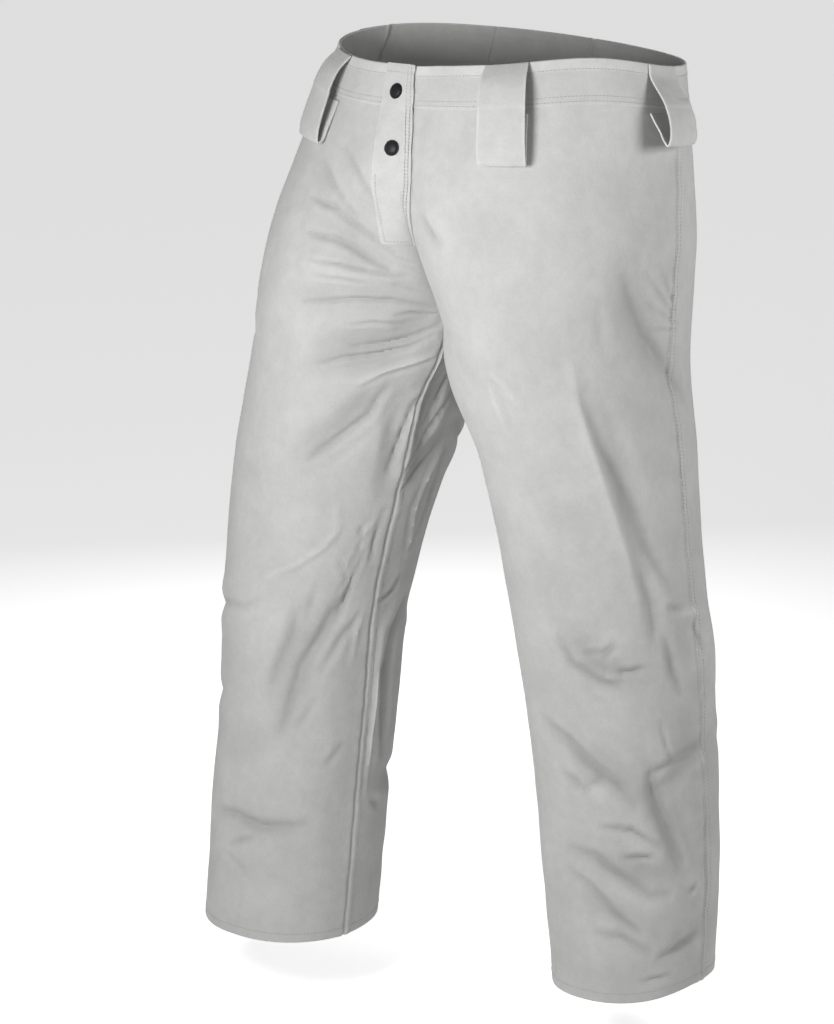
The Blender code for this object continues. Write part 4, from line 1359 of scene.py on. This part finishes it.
@dataclass
class ClothSheet:
    """One cut piece of leather, from a grid of points of its outer face."""

    name: str
    points: np.ndarray
    # Per point, from -1 to 1: rubbed paleness at edges, and painted shade and painted highlight
    # from creases, hollows and the band's inner face.
    wear: np.ndarray
    node: str
    thickness: float = 0.0019
    inward: float = -1.0            # -1 grows the wall inward, 0 both ways
    edge: float = 0.0               # rounding of the cut edges
    sharp_from: float = 50.0        # edges bent further, in degrees, look sharp
    rounded_from: float = 60.0      # and those bent further are rounded

    def build(self, finish: bpy.types.Material) -> bpy.types.Object:
        """Makes the piece from a flat grid that is bent to its points and given a thickness.

        Args:
            finish: the leather's material.

        Returns:
            The piece, which stands for its solid.
        """
        rows, cols = self.points.shape[:2]
        deselect()
        bpy.ops.mesh.primitive_grid_add(x_subdivisions=cols - 1, y_subdivisions=rows - 1, size=1)
        piece = bpy.context.object
        piece.name = self.name
        mesh = piece.data
        mesh.name = self.name
        if len(mesh.vertices) != rows * cols:
            raise ValueError(f"{self.name}: the flat grid has {len(mesh.vertices)} points")
        mesh.vertices.foreach_set("co", self.points.reshape(-1, 3).astype(np.float32).ravel())
        self.lay_out(mesh, rows, cols)
        wear = mesh.attributes.new("wear", "FLOAT", "POINT")
        wear.data.foreach_set("value", self.wear.reshape(-1).astype(np.float32))
        mesh.update()
        wall = piece.modifiers.new("wall", "SOLIDIFY")
        wall.thickness = self.thickness
        wall.offset = self.inward
        if self.edge:
            rounding = piece.modifiers.new("rounding", "BEVEL")
            rounding.width = self.edge
            rounding.segments = 2
            rounding.limit_method = "ANGLE"
            rounding.angle_limit = math.radians(self.rounded_from)
        apply_all(piece)
        bpy.ops.object.shade_smooth_by_angle(angle=math.radians(self.sharp_from))
        mesh.materials.clear()
        mesh.materials.append(finish)
        width, length, area = self.cut()
        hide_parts(self.node)
        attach(piece, "root")
        log.info("%s: %d faces, cut %.3f x %.3f m", self.name, len(mesh.polygons), width, length)
        return piece

    def lay_out(self, mesh: bpy.types.Mesh, rows: int, cols: int) -> None:
        """Gives the mesh a map in metres, along its rows and columns.

        Args:
            mesh: the flat grid's mesh, already bent to its points.
            rows: how many rows of points it has.
            cols: how many points there are in a row.
        """
        across = np.linalg.norm(np.diff(self.points, axis=1), axis=2).mean(0)
        down = np.linalg.norm(np.diff(self.points, axis=0), axis=2).mean(1)
        u = np.concatenate([[0], np.cumsum(across)])
        v = np.concatenate([[0], np.cumsum(down)])
        corner = np.zeros(len(mesh.loops), np.int32)
        mesh.loops.foreach_get("vertex_index", corner)
        flat = np.stack([u[corner % cols], v[corner // cols]], 1)
        mesh.uv_layers.active.data.foreach_set("uv", flat.astype(np.float32).ravel())

    def cut(self) -> tuple[float, float, float]:
        """The flat size of the piece.

        Returns:
            Its greatest width and length, and its area.
        """
        p = self.points
        across = np.linalg.norm(np.diff(p, axis=1), axis=2).sum(1).max()
        down = np.linalg.norm(np.diff(p, axis=0), axis=2).sum(0).max()
        one = np.cross(p[1:, :-1] - p[:-1, :-1], p[:-1, 1:] - p[:-1, :-1])
        two = np.cross(p[1:, :-1] - p[1:, 1:], p[:-1, 1:] - p[1:, 1:])
        area = (np.linalg.norm(one, axis=2) + np.linalg.norm(two, axis=2)).sum() / 2
        return float(across), float(down), float(min(area, across * down))


@dataclass
class Thread:
    """The rows of stitches of one part of the garment."""

    name: str
    pitch: float = 0.0040           # from stitch to stitch
    length: float = 0.0027
    radius: float = 0.00042
    straight: float = 0.62          # share of a stitch between its dipping ends
    raised: float = 0.25            # share of its radius that it stands up
    feel: float = 0.0006            # reach along the row that gives its direction
    lines: list[tuple[np.ndarray, np.ndarray]] = field(default_factory=list)

    def add(self, points: np.ndarray, normals: np.ndarray) -> None:
        """Adds a row of stitches along points that lie on the leather."""
        self.lines.append((points, normals))

    def one_stitch(self) -> tuple[np.ndarray, list[list[int]]]:
        """Models one stitch, a short rod of six sides whose ends dip into the leather.

        Returns:
            Its vertices for a length of one, along x, and its faces.
        """
        deselect()
        dip = (1 - self.straight) / 2
        bpy.ops.mesh.primitive_cylinder_add(vertices=6, radius=1, depth=self.straight,
                                            rotation=(0, math.pi / 2, 0))
        rod = bpy.context.object
        bpy.ops.object.transform_apply(location=False, rotation=True, scale=False)
        bpy.ops.object.mode_set(mode="EDIT")
        work = bmesh.from_edit_mesh(rod.data)
        for sign in (-1, 1):
            work.faces.ensure_lookup_table()
            for face in work.faces:
                face.select_set(face.normal.x * sign > 0.9)
            bmesh.update_edit_mesh(rod.data)
            bpy.ops.mesh.extrude_region_move(
                TRANSFORM_OT_translate={"value": (dip * sign, 0, -0.5)})
            bpy.ops.transform.resize(value=(1, 0.5, 0.5), center_override=(0.5 * sign, 0, -0.5))
            work = bmesh.from_edit_mesh(rod.data)
        bpy.ops.object.mode_set(mode="OBJECT")
        vertices = np.array([v.co[:] for v in rod.data.vertices])
        faces = [list(f.vertices) for f in rod.data.polygons]
        bpy.data.objects.remove(rod)
        return vertices, faces

    def build(self, finish: bpy.types.Material) -> bpy.types.Object:
        """Copies the stitch along every row, as one joined mesh.

        Args:
            finish: the thread's material.

        Returns:
            The piece.
        """
        model, model_faces = self.one_stitch()
        vertices, faces = [], []
        for points, normals in self.lines:
            run = running(points)
            count = max(1, int(run[-1] / self.pitch))
            spots = (np.arange(count) + 0.5) * run[-1] / count
            middle = at_lengths(spots, run, points)
            ahead = (at_lengths(spots + self.feel, run, points)
                     - at_lengths(spots - self.feel, run, points))
            rise = at_lengths(spots, run, normals)
            ahead /= np.linalg.norm(ahead, axis=1)[:, None] + 1e-12
            rise -= ahead * np.sum(ahead * rise, axis=1)[:, None]
            rise /= np.linalg.norm(rise, axis=1)[:, None] + 1e-12
            aside = np.cross(rise, ahead)
            for m, a, s, r in zip(middle, ahead, aside, rise):
                start = len(vertices) * len(model)
                placed = (m + np.outer(model[:, 0] * self.length, a)
                          + np.outer(model[:, 1] * self.radius, s)
                          + np.outer(model[:, 2] * self.radius, r)
                          + r * self.radius * self.raised)
                vertices.append(placed)
                faces.extend([[start + k for k in face] for face in model_faces])
        mesh = bpy.data.meshes.new(self.name)
        mesh.from_pydata(np.concatenate(vertices).tolist(), [], faces)
        piece = bpy.data.objects.new(self.name, mesh)
        bpy.context.scene.collection.objects.link(piece)
        pick(piece)
        bpy.ops.object.shade_smooth()
        mesh.materials.append(finish)
        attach(piece, "root")
        log.info("%s: %d stitches", self.name, len(vertices))
        return piece


@dataclass
class LegPanels:
    """The two front and two back panels, seam to seam, with their hems turned up."""

    form: GarmentForm
    hem_turning: float = 0.0160     # leather turned up inside the hem
    turn_radius: float = 0.0019
    under_band: float = 0.0030      # leather that runs up under the band
    hollow_shade_depth: float = 0.008       # hollows of this depth get the darkest painted shade
    crease_wear: float = 0.75       # how much painted shade sharp creases get, and painted highlight sharp ridges

    def profile(self) -> list[tuple[float, float]]:
        """The panels' outline, from the raw edge inside the hem up to the band.

        Returns:
            Heights and distances out.
        """
        hem, r = self.form.hem, self.turn_radius
        inside = [(hem + h, -2 * r) for h in (self.hem_turning, 0.012, 0.008, 0.0045, 0.0025)]
        bend = []
        for k in range(7):
            angle = math.pi * k / 6
            bend.append((hem + r - r * math.sin(angle), -r - r * math.cos(angle)))
        top = -BAND_DEPTH + self.under_band
        rows = self.form.heights
        outside = [(float(h), 0.0) for h in rows if hem + 0.003 < h < top - 0.001]
        return inside + bend + outside + [(top, 0.0)]

    def build(self, finish: bpy.types.Material) -> list[bpy.types.Object]:
        """Makes the four panels.

        Args:
            finish: the leather's material.

        Returns:
            The pieces.
        """
        pieces = []
        form = self.form
        profile = np.array(self.profile())
        for side in Side:
            for end, first, last in (("front", 0.0, 1.0), ("back", 1.0, 2.0)):
                chosen = (form.shares >= first - 1e-9) & (form.shares <= last + 1e-9)
                shares = form.shares[chosen]
                points, _ = form.place(side, shares[None, :], profile[:, :1], profile[:, 1:])
                # The panels carry painted shade in hollows and creases and painted highlight on
                # ridges, and no rubbed wear.
                wear = self.wear(side, shares, profile[:, 0])
                if side is Side.RIGHT:
                    points, wear = points[:, ::-1], wear[:, ::-1]
                node = f"{end}_{side.word}_panel"
                sheet = ClothSheet(f"leather_{end}_{side.word}", points, wear, node)
                pieces.append(sheet.build(finish))
        return pieces

    def wear(self, side: Side, shares: np.ndarray, heights: np.ndarray) -> np.ndarray:
        """Painted shade and highlight: darker in hollows and creases, paler on ridges.

        Args:
            side: which side of the garment.
            shares: the panel's columns.
            heights: its rows.

        Returns:
            The painted shade and highlight at each point, from -1 to 1.
        """
        form = self.form
        columns = np.isin(form.shares, shares)
        # Painted shade from each hollow's depth and from sharp creases, and painted highlight on
        # ridges.
        rubbed_and_shaded = (form.hollows[side][:, columns] / self.hollow_shade_depth
                  + self.crease_wear * form.lines[side][:, columns])
        near = np.stack([np.interp(heights, form.heights, rubbed_and_shaded[:, j])
                         for j in range(rubbed_and_shaded.shape[1])], 1)
        return np.clip(near, -1, 1)


@dataclass
class Waistband:
    """The band of doubled leather, in five pieces, folded over at the rim."""

    form: GarmentForm
    thickness: float = 0.0034       # both layers
    layer: float = 0.0015           # one layer
    joint: float = 1.50             # share where the middle back piece begins
    joint_gap: float = 0.0006       # half the gap at a joint, as a share
    joint_sink: float = 0.0006      # how far a joint is drawn in
    joint_reach: float = 0.006      # how far round that is felt, as a share
    worn: float = 0.1
    worn_rim: float = 0.75

    def profile(self) -> list[tuple[float, float]]:
        """The band's outline, from the lower edge inside, over the rim, to the outside.

        Returns:
            Heights and distances out.
        """
        r, low, proud = self.thickness / 2, -BAND_DEPTH, BAND_PROUD
        inside = [(h, proud - 2 * r) for h in np.linspace(low, -r - 0.001, 12)]
        rim = []
        for k in range(9):
            angle = math.pi * k / 8
            rim.append((-r + r * math.sin(angle), proud - r - r * math.cos(angle)))
        outside = [(h, proud) for h in np.linspace(-r - 0.001, low + 0.0012, 12)]
        turned = [(low + 0.0004, proud - 0.0003), (low, proud - 0.0012)]
        return inside + rim + outside + turned

    def build(self, finish: bpy.types.Material) -> list[bpy.types.Object]:
        """Makes the five pieces.

        Args:
            finish: the leather's material.

        Returns:
            The pieces.
        """
        form = self.form
        profile = np.array(self.profile())
        pieces = []
        shares = form.shares
        for side in Side:
            for name, first, last in (("front", 0.0, 1.0), ("side_back", 1.0, self.joint)):
                chosen = shares[(shares > first + 1e-9) & (shares < last - 1e-9)]
                chosen = np.concatenate([[first + self.joint_gap], chosen,
                                         [last - self.joint_gap]])
                points = self.shell(side, chosen, profile)
                if side is Side.RIGHT:
                    points = points[:, ::-1]
                pieces.append(self.piece(f"{name}_{side.word}", points, finish))
        chosen = shares[shares > self.joint + 1e-9]
        chosen = np.concatenate([[self.joint + self.joint_gap], chosen])
        left = self.shell(Side.LEFT, chosen, profile)
        right = self.shell(Side.RIGHT, chosen, profile)
        points = np.concatenate([left, right[:, -2::-1]], axis=1)
        pieces.append(self.piece("back", points, finish))
        return pieces

    def shell(self, side: Side, shares: np.ndarray, profile: np.ndarray) -> np.ndarray:
        """The band's outer face, drawn in a little at the joints.

        Args:
            side: which side of the garment.
            shares: the columns.
            profile: heights and distances out.

        Returns:
            The points, row by row.
        """
        near = np.minimum(np.abs(shares - 1), np.abs(shares - self.joint))
        sink = -self.joint_sink * np.exp(-(near / self.joint_reach) ** 2)
        points, _ = self.form.place(side, shares[None, :], profile[:, :1],
                                    profile[:, 1:] + sink[None, :])
        over = profile[:, 0] - self.form.heights[-1]
        points[:, :, 2] += np.maximum(over, 0)[:, None]
        return points

    def piece(self, name: str, points: np.ndarray, finish: bpy.types.Material) -> bpy.types.Object:
        """One piece of the band, rubbed pale along its fold, with painted shade on its inner face.

        Args:
            name: which part of the band.
            points: its outer face, from the inside over the rim.
            finish: the leather's material.

        Returns:
            The piece.
        """
        points = points[::-1]
        wear = np.full(points.shape[:2], self.worn)
        middle = points.shape[0] // 2
        wear[middle - 6:middle + 4] = self.worn_rim
        # Painted shade over the band's inner face, from just inside the fold down.
        wear[middle + 4:] = -1.0
        sheet = ClothSheet(f"band_{name}", points, wear, f"waistband_{name}",
                           thickness=self.layer)
        return sheet.build(finish)


@dataclass(frozen=True)
class Strap:
    """One point along a belt loop's middle line."""

    drop: float
    out: float


FLAT_LOOP = (
    Strap(0.0015, 0.0014), Strap(0.0080, 0.0055), Strap(0.0180, 0.0110), Strap(0.0320, 0.0142),
    Strap(0.0500, 0.0150), Strap(0.0680, 0.0142), Strap(0.0830, 0.0122), Strap(0.0912, 0.0082),
    Strap(0.0885, 0.0042), Strap(0.0760, 0.0028), Strap(0.0620, 0.0020), Strap(0.0470, 0.0014),
)
GAPING_LOOP = (
    Strap(0.0015, 0.0014), Strap(0.0120, 0.0022), Strap(0.0240, 0.0100), Strap(0.0360, 0.0195),
    Strap(0.0480, 0.0270), Strap(0.0600, 0.0310), Strap(0.0715, 0.0310), Strap(0.0775, 0.0272),
    Strap(0.0740, 0.0225), Strap(0.0650, 0.0160), Strap(0.0560, 0.0085), Strap(0.0475, 0.0022),
)


@dataclass
class BeltLoop:
    """A strap sewn at the rim, folded below the band and sewn again at the band's seam."""

    form: GarmentForm
    name: str
    sides: tuple[tuple[Side, float], ...]  # places across its width
    strap: tuple[Strap, ...]
    swing: tuple[float, ...] = (1.0, 1.0, 1.0)  # how far out each edge and the middle stand
    lengthwise: int = 70
    across: int = 15
    worn: float = 0.35
    worn_edge: float = 0.9
    edge: float = 0.0004            # rounding of the cut edges

    def spine(self) -> np.ndarray:
        """The strap's middle line, made smooth.

        Returns:
            Distances out and heights.
        """
        line = np.array([[p.out, -p.drop] for p in self.strap])
        run = running(line)
        return curve(run, line, np.linspace(0, run[-1], self.lengthwise))

    def grid(self) -> np.ndarray:
        """The strap's middle face.

        Returns:
            Its points, from the rim down and back up, and across its width.
        """
        spine = self.spine()
        t = np.linspace(0, 1, self.across)
        knots = np.linspace(0, 1, len(self.sides))
        swing = np.interp(t, knots, self.swing)
        signed = [share if side is self.sides[0][0] else 4 - share for side, share in self.sides]
        shares = np.interp(t, knots, signed)
        columns = []
        for share, part in zip(shares, swing):
            side, real = self.sides[0][0], share
            if share > 2:
                side, real = side.other, 4 - share
            out = SEAM_GAP + (spine[:, 0] - SEAM_GAP) * part
            band = BAND_PROUD * smooth((spine[:, 1] + 0.0425) / 0.001)
            points, _ = self.form.place(side, np.full(len(spine), real), spine[:, 1], out + band)
            columns.append(points)
        return np.stack(columns, 1)

    def build(self, finish: bpy.types.Material) -> bpy.types.Object:
        """Makes the loop.

        Args:
            finish: the leather's material.

        Returns:
            The piece.
        """
        points = self.grid()[::-1]
        if self.sides[0][0] is Side.RIGHT:
            points = points[:, ::-1]
        wear = np.full(points.shape[:2], self.worn)
        wear[:, [0, -1]] = self.worn_edge
        sheet = ClothSheet(f"loop_{self.name}", points, wear, f"belt_loop_{self.name}",
                           thickness=STRIP_LEATHER, inward=0.0, edge=self.edge)
        return sheet.build(finish)


@dataclass
class FlyPlacket:
    """The strip of leather over the fly, with its free edge on the wearer's right."""

    form: GarmentForm
    width_share: float = 0.135
    drop: float = 0.1830
    worn: float = 0.35
    worn_edge: float = 0.8
    edge: float = 0.0005

    def build(self, finish: bpy.types.Material) -> bpy.types.Object:
        """Makes the placket.

        Args:
            finish: the leather's material.

        Returns:
            The piece.
        """
        heights = np.linspace(-self.drop, 0.0, 60)
        width = self.width_share
        shares = np.concatenate([[0.0, 0.004, 0.010], np.linspace(0.02, width - 0.010, 16),
                                 [width - 0.004, width]])
        shares, heights = np.meshgrid(shares, heights)
        band = BAND_PROUD * smooth((heights + 0.0445) / 0.004)
        points, _ = self.form.place(Side.RIGHT, shares, heights, band + SEAM_GAP + STRIP_LEATHER)
        points = points[:, ::-1]
        wear = np.full(points.shape[:2], self.worn)
        wear[:, [0, -1]] = self.worn_edge
        sheet = ClothSheet("fly_strip", points, wear, "fly_placket", thickness=STRIP_LEATHER,
                           edge=self.edge)
        return sheet.build(finish)


@dataclass
class SnapCap:
    """A domed black cap with a flat rim, pressed on the placket."""

    form: GarmentForm
    name: str
    height: float
    radius: float = 0.0083
    rise: float = 0.0030
    rim: float = 0.0013             # width of the flat rim
    rim_rise: float = 0.0010        # height of the flat rim
    skirt: float = 0.0006           # what hangs below it
    lying: float = 0.0030           # height of the placket's face over the cloth
    share: float = 0.075            # place across the placket
    turns: int = 48

    def profile(self) -> list[tuple[float, float]]:
        """The cap's outline, from its lower edge to its crown.

        Returns:
            Radii and heights.
        """
        dome = self.radius - self.rim
        points = [(self.radius - 0.0004, -self.skirt), (self.radius, 0.0),
                  (self.radius, self.skirt), (self.radius - 0.0003, self.rim_rise),
                  (dome + 0.0003, self.rim_rise + 0.0001), (dome, self.rim_rise)]
        for k in range(1, 9):
            angle = math.pi / 2 * k / 8
            points.append((dome * math.cos(angle),
                           self.rim_rise + (self.rise - self.rim_rise) * math.sin(angle)))
        return points

    def build(self, finish: bpy.types.Material) -> bpy.types.Object:
        """Spins the cap's outline round its axis and seats it on the placket.

        Args:
            finish: the enamel's material.

        Returns:
            The piece.
        """
        deselect()
        bpy.ops.mesh.primitive_circle_add(vertices=3, radius=0.001)
        piece = bpy.context.object
        piece.name = self.name
        outline = self.profile()
        bpy.ops.object.mode_set(mode="EDIT")
        work = bmesh.from_edit_mesh(piece.data)
        bmesh.ops.delete(work, geom=list(work.verts), context="VERTS")
        dots = [work.verts.new((radius, 0.0, z)) for radius, z in outline]
        for a, b in zip(dots, dots[1:]):
            work.edges.new((a, b))
        bmesh.update_edit_mesh(piece.data)
        bpy.ops.mesh.select_all(action="SELECT")
        bpy.ops.mesh.spin(steps=self.turns, angle=2 * math.pi, center=(0, 0, 0), axis=(0, 0, 1))
        bpy.ops.mesh.select_all(action="SELECT")
        bpy.ops.mesh.remove_doubles(threshold=0.00005)
        bpy.ops.mesh.select_all(action="SELECT")
        bpy.ops.mesh.normals_make_consistent(inside=False)
        bpy.ops.object.mode_set(mode="OBJECT")
        place, normal = self.form.place(Side.RIGHT, self.share, self.height, self.lying)
        turn = Vector(normal).to_track_quat("Z", "Y").to_matrix().to_4x4()
        piece.data.transform(Matrix.Translation(Vector(place)) @ turn)
        pick(piece)
        bpy.ops.object.shade_smooth_by_angle(angle=math.radians(40))
        piece.data.materials.clear()
        piece.data.materials.append(finish)
        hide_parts(self.name.replace("cap", "snap"))
        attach(piece, "root")
        log.info("%s: %d faces", self.name, len(piece.data.polygons))
        return piece


@dataclass
class Sewing:
    """Every row of stitches that shows."""

    form: GarmentForm
    band_rows: tuple[float, ...] = (-0.0105, -0.0345, -0.0390)  # heights of the rows on the band
    band_inside: float = -0.0027    # the band's inner face
    side_rows: tuple[float, ...] = (0.0025, 0.0085)  # distances behind a side seam
    edge_rows: tuple[float, ...] = (0.0035, 0.0085)  # distances beside the middle and the fly
    inseam_row: float = 0.0075      # distance behind an inseam
    hem_row: float = 0.0105         # height above the hem
    fly_drop: float = -0.180
    fly_over_band: float = 0.0030   # the placket's face over the band
    fly_over_cloth: float = 0.0023  # and over the cloth below it
    from_hem: float = 0.004
    from_crotch: float = 0.012
    to_band: float = -0.044

    def row(self, thread: Thread, side: Side, shares: Sequence[float],
            heights: Sequence[float], out: float) -> None:
        """Adds one row along places on the cloth.

        Args:
            thread: what the row is added to.
            side: which side of the garment.
            shares: the row's shares.
            heights: its heights.
            out: how far off the cloth's outer face the leather under the thread lies.
        """
        count = 160
        t = np.linspace(0, 1, count)
        s = np.interp(t, np.linspace(0, 1, len(shares)), shares)
        h = np.interp(t, np.linspace(0, 1, len(heights)), heights)
        points, normals = self.form.place(side, s, h, np.full(count, out))
        thread.add(points, normals)

    def beside(self, thread: Thread, side: Side, seam: float, sign: float, gone: float,
               low: float, high: float, out: float = 0.0) -> None:
        """Adds a row at a steady distance beside a seam.

        Args:
            thread: what the row is added to.
            side: which side of the garment.
            seam: the seam's share.
            sign: towards greater or smaller shares.
            gone: the distance from the seam.
            low: where the row ends below.
            high: where it ends above.
            out: how far off the cloth the leather lies.
        """
        heights = np.linspace(low, high, 240)
        column = int(np.argmin(np.abs(self.form.shares - (seam + sign * 0.02))))
        reach = np.interp(heights, self.form.heights, self.form.reach[side][:, column])
        shares = seam + sign * gone / reach
        points, normals = self.form.place(side, shares, heights, np.full(len(heights), out))
        thread.add(points, normals)

    def build(self, finish: bpy.types.Material) -> list[bpy.types.Object]:
        """Makes the rows of the band, the seams, the hems and the placket.

        Args:
            finish: the thread's material.

        Returns:
            The pieces.
        """
        low, crotch = self.form.hem + self.from_hem, self.form.crotch
        band = Thread("stitches_band")
        for side, first in ((L, 0.004), (R, 0.140)):
            for height in self.band_rows:
                self.row(band, side, (first, 1.0, 2.0), (height,) * 3, BAND_PROUD)
            self.row(band, side, (1.0, 2.0), self.band_rows[:1] * 2, self.band_inside)
        seams = Thread("stitches_seams")
        for side in Side:
            for gone in self.side_rows:
                self.beside(seams, side, 1.0, 1.0, gone, low, self.to_band)
            self.beside(seams, side, 2.0, -1.0, self.inseam_row, low, crotch - self.from_crotch)
        for gone in self.edge_rows:
            self.beside(seams, L, 2.0, -1.0, gone, crotch + self.from_crotch, self.to_band)
        self.beside(seams, L, 0.0, 1.0, self.edge_rows[0], crotch + self.from_crotch, -0.190)
        hems = Thread("stitches_hems")
        for side in Side:
            self.row(hems, side, (0.0, 1.0, 2.0), (self.form.hem + self.hem_row,) * 3, 0.0)
        fly = Thread("stitches_fly", pitch=0.0036, length=0.0025, radius=0.00038)
        for gone in self.edge_rows:
            self.beside(fly, R, 0.0, 1.0, gone, self.fly_drop, -0.002, self.fly_over_band)
        self.row(fly, R, (0.125, 0.125), (self.fly_drop, -0.110), self.fly_over_cloth)
        self.row(fly, R, (0.012, 0.125), (self.fly_drop,) * 2, self.fly_over_cloth)
        self.row(fly, R, (0.005, 0.130), (-0.0085, -0.0085), self.fly_over_band)
        return [thread.build(finish) for thread in (band, seams, hems, fly)]


@dataclass(frozen=True)
class Lamp:
    """A square soft light: its direction as the camera's is given, and its height and reach."""

    name: str
    azimuth: float
    height: float
    distance: float
    size: float
    power: float

    def build(self, target: Vector) -> bpy.types.Object:
        """Adds the light.

        Args:
            target: the point that it faces.

        Returns:
            The light's object.
        """
        a = math.radians(self.azimuth)
        place = Vector((math.sin(a) * self.distance, -math.cos(a) * self.distance, self.height))
        bpy.ops.object.light_add(type="AREA", location=place)
        lamp = bpy.context.object
        lamp.name = self.name
        lamp.rotation_euler = (place - target).to_track_quat("Z", "Y").to_euler()
        lamp.data.shape = "SQUARE"
        lamp.data.size = self.size
        lamp.data.energy = self.power
        return lamp


LAMPS = (
    Lamp("key_light", 8, 0.05, 1.25, 0.42, 13),
    Lamp("side_light", 104, 0.10, 1.15, 0.4, 6),
    Lamp("back_light", 228, 0.02, 1.6, 0.5, 11),
)


@dataclass
class Studio:
    """A plain pale floor and soft light, with the camera of the photograph."""

    camera: PhotoCamera
    floor_height: float = -1.060
    white: tuple[float, float, float] = (0.92, 0.92, 0.92)
    glow: float = 0.09              # light that the floor gives off
    seen_glow: float = 0.66         # how bright it looks, so that it stays white
    walls: float = 0.21             # the surroundings at mid height
    haze: float = 0.48              # what is added low down
    ceiling: float = 0.05           # the surroundings above
    floor_radius: float = 40.0
    faced_height: float = -0.40     # what the lamps face

    def room(self) -> None:
        """Surrounds the scene with pale walls, palest at the floor, under a darker ceiling."""
        world = bpy.data.worlds.new("pale_room")
        world.use_nodes = True
        wiring = Wiring(world.node_tree)
        split = world.node_tree.nodes.new("ShaderNodeSeparateXYZ")
        wiring.join(wiring.coordinates("Generated"), split.inputs["Vector"])
        rise = split.outputs["Z"]
        fall = wiring.ranged(rise, self.walls, self.ceiling, 0.10, 0.60, Ease.SOFT)
        haze = wiring.ranged(rise, self.haze, 0.0, 0.07, 0.15, Ease.SOFT)
        background = world.node_tree.nodes["Background"]
        wiring.join(wiring.put_together(fall, haze, Joining.SUM), background.inputs["Strength"])
        background.inputs["Color"].default_value = (1, 1, 1, 1)
        bpy.context.scene.world = world

    def build(self) -> None:
        """Adds the floor, the lights, the pale surroundings and the camera."""
        deselect()
        bpy.ops.mesh.primitive_circle_add(vertices=96, radius=self.floor_radius,
                                          fill_type="NGON", location=(0, 0, self.floor_height))
        floor = bpy.context.object
        floor.name = "pale_floor"
        material, wiring, shader = new_material("pale_floor", {
            "Roughness": 1.0, "Specular IOR Level": 0.0})
        shader.inputs["Base Color"].default_value = (*self.white, 1)
        shader.inputs["Emission Color"].default_value = (1, 1, 1, 1)
        # The ground is white to look at but gives off less light, so the cloth keeps its tone.
        seen = wiring.tree.nodes.new("ShaderNodeLightPath").outputs["Is Camera Ray"]
        glow = wiring.ranged(seen, self.glow, self.seen_glow)
        wiring.join(glow, shader.inputs["Emission Strength"])
        floor.data.materials.append(material)
        self.room()
        for lamp in LAMPS:
            lamp.build(Vector((0, 0, self.faced_height)))
        self.camera.build()
        bpy.context.scene.view_settings.view_transform = "Standard"


def main() -> None:
    """Builds the studio and every piece, in order."""
    logging.basicConfig(level=logging.INFO, format="%(name)s: %(message)s")
    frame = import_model()
    log.info("frame of %d solids", len(frame["nodes"]))
    camera = PhotoCamera()
    Studio(camera).build()
    form = GarmentForm(camera, FOLDS, CREASES)
    leather = LeatherFinish().build()
    thread = ThreadFinish().build()
    enamel = CapFinish().build()
    LegPanels(form).build(leather)
    Waistband(form).build(leather)
    FlyPlacket(form).build(leather)
    gaping = (1.0, 0.9, 0.75)
    loops = (
        BeltLoop(form, "front_left", ((L, 0.29), (L, 0.365), (L, 0.44)), FLAT_LOOP),
        BeltLoop(form, "front_right", ((R, 0.365), (R, 0.44), (R, 0.51)), FLAT_LOOP),
        BeltLoop(form, "side_left", ((L, 0.86), (L, 0.93), (L, 1.0)), GAPING_LOOP, gaping),
        BeltLoop(form, "side_right", ((R, 0.86), (R, 0.93), (R, 1.0)), GAPING_LOOP, gaping),
        BeltLoop(form, "back", ((L, 1.905), (L, 2.0), (R, 1.905)), FLAT_LOOP),
    )
    for loop in loops:
        loop.build(leather)
    SnapCap(form, "cap_upper", -0.027).build(enamel)
    SnapCap(form, "cap_lower", -0.083).build(enamel)
    Sewing(form).build(thread)


if __name__ == "__main__":
    main()
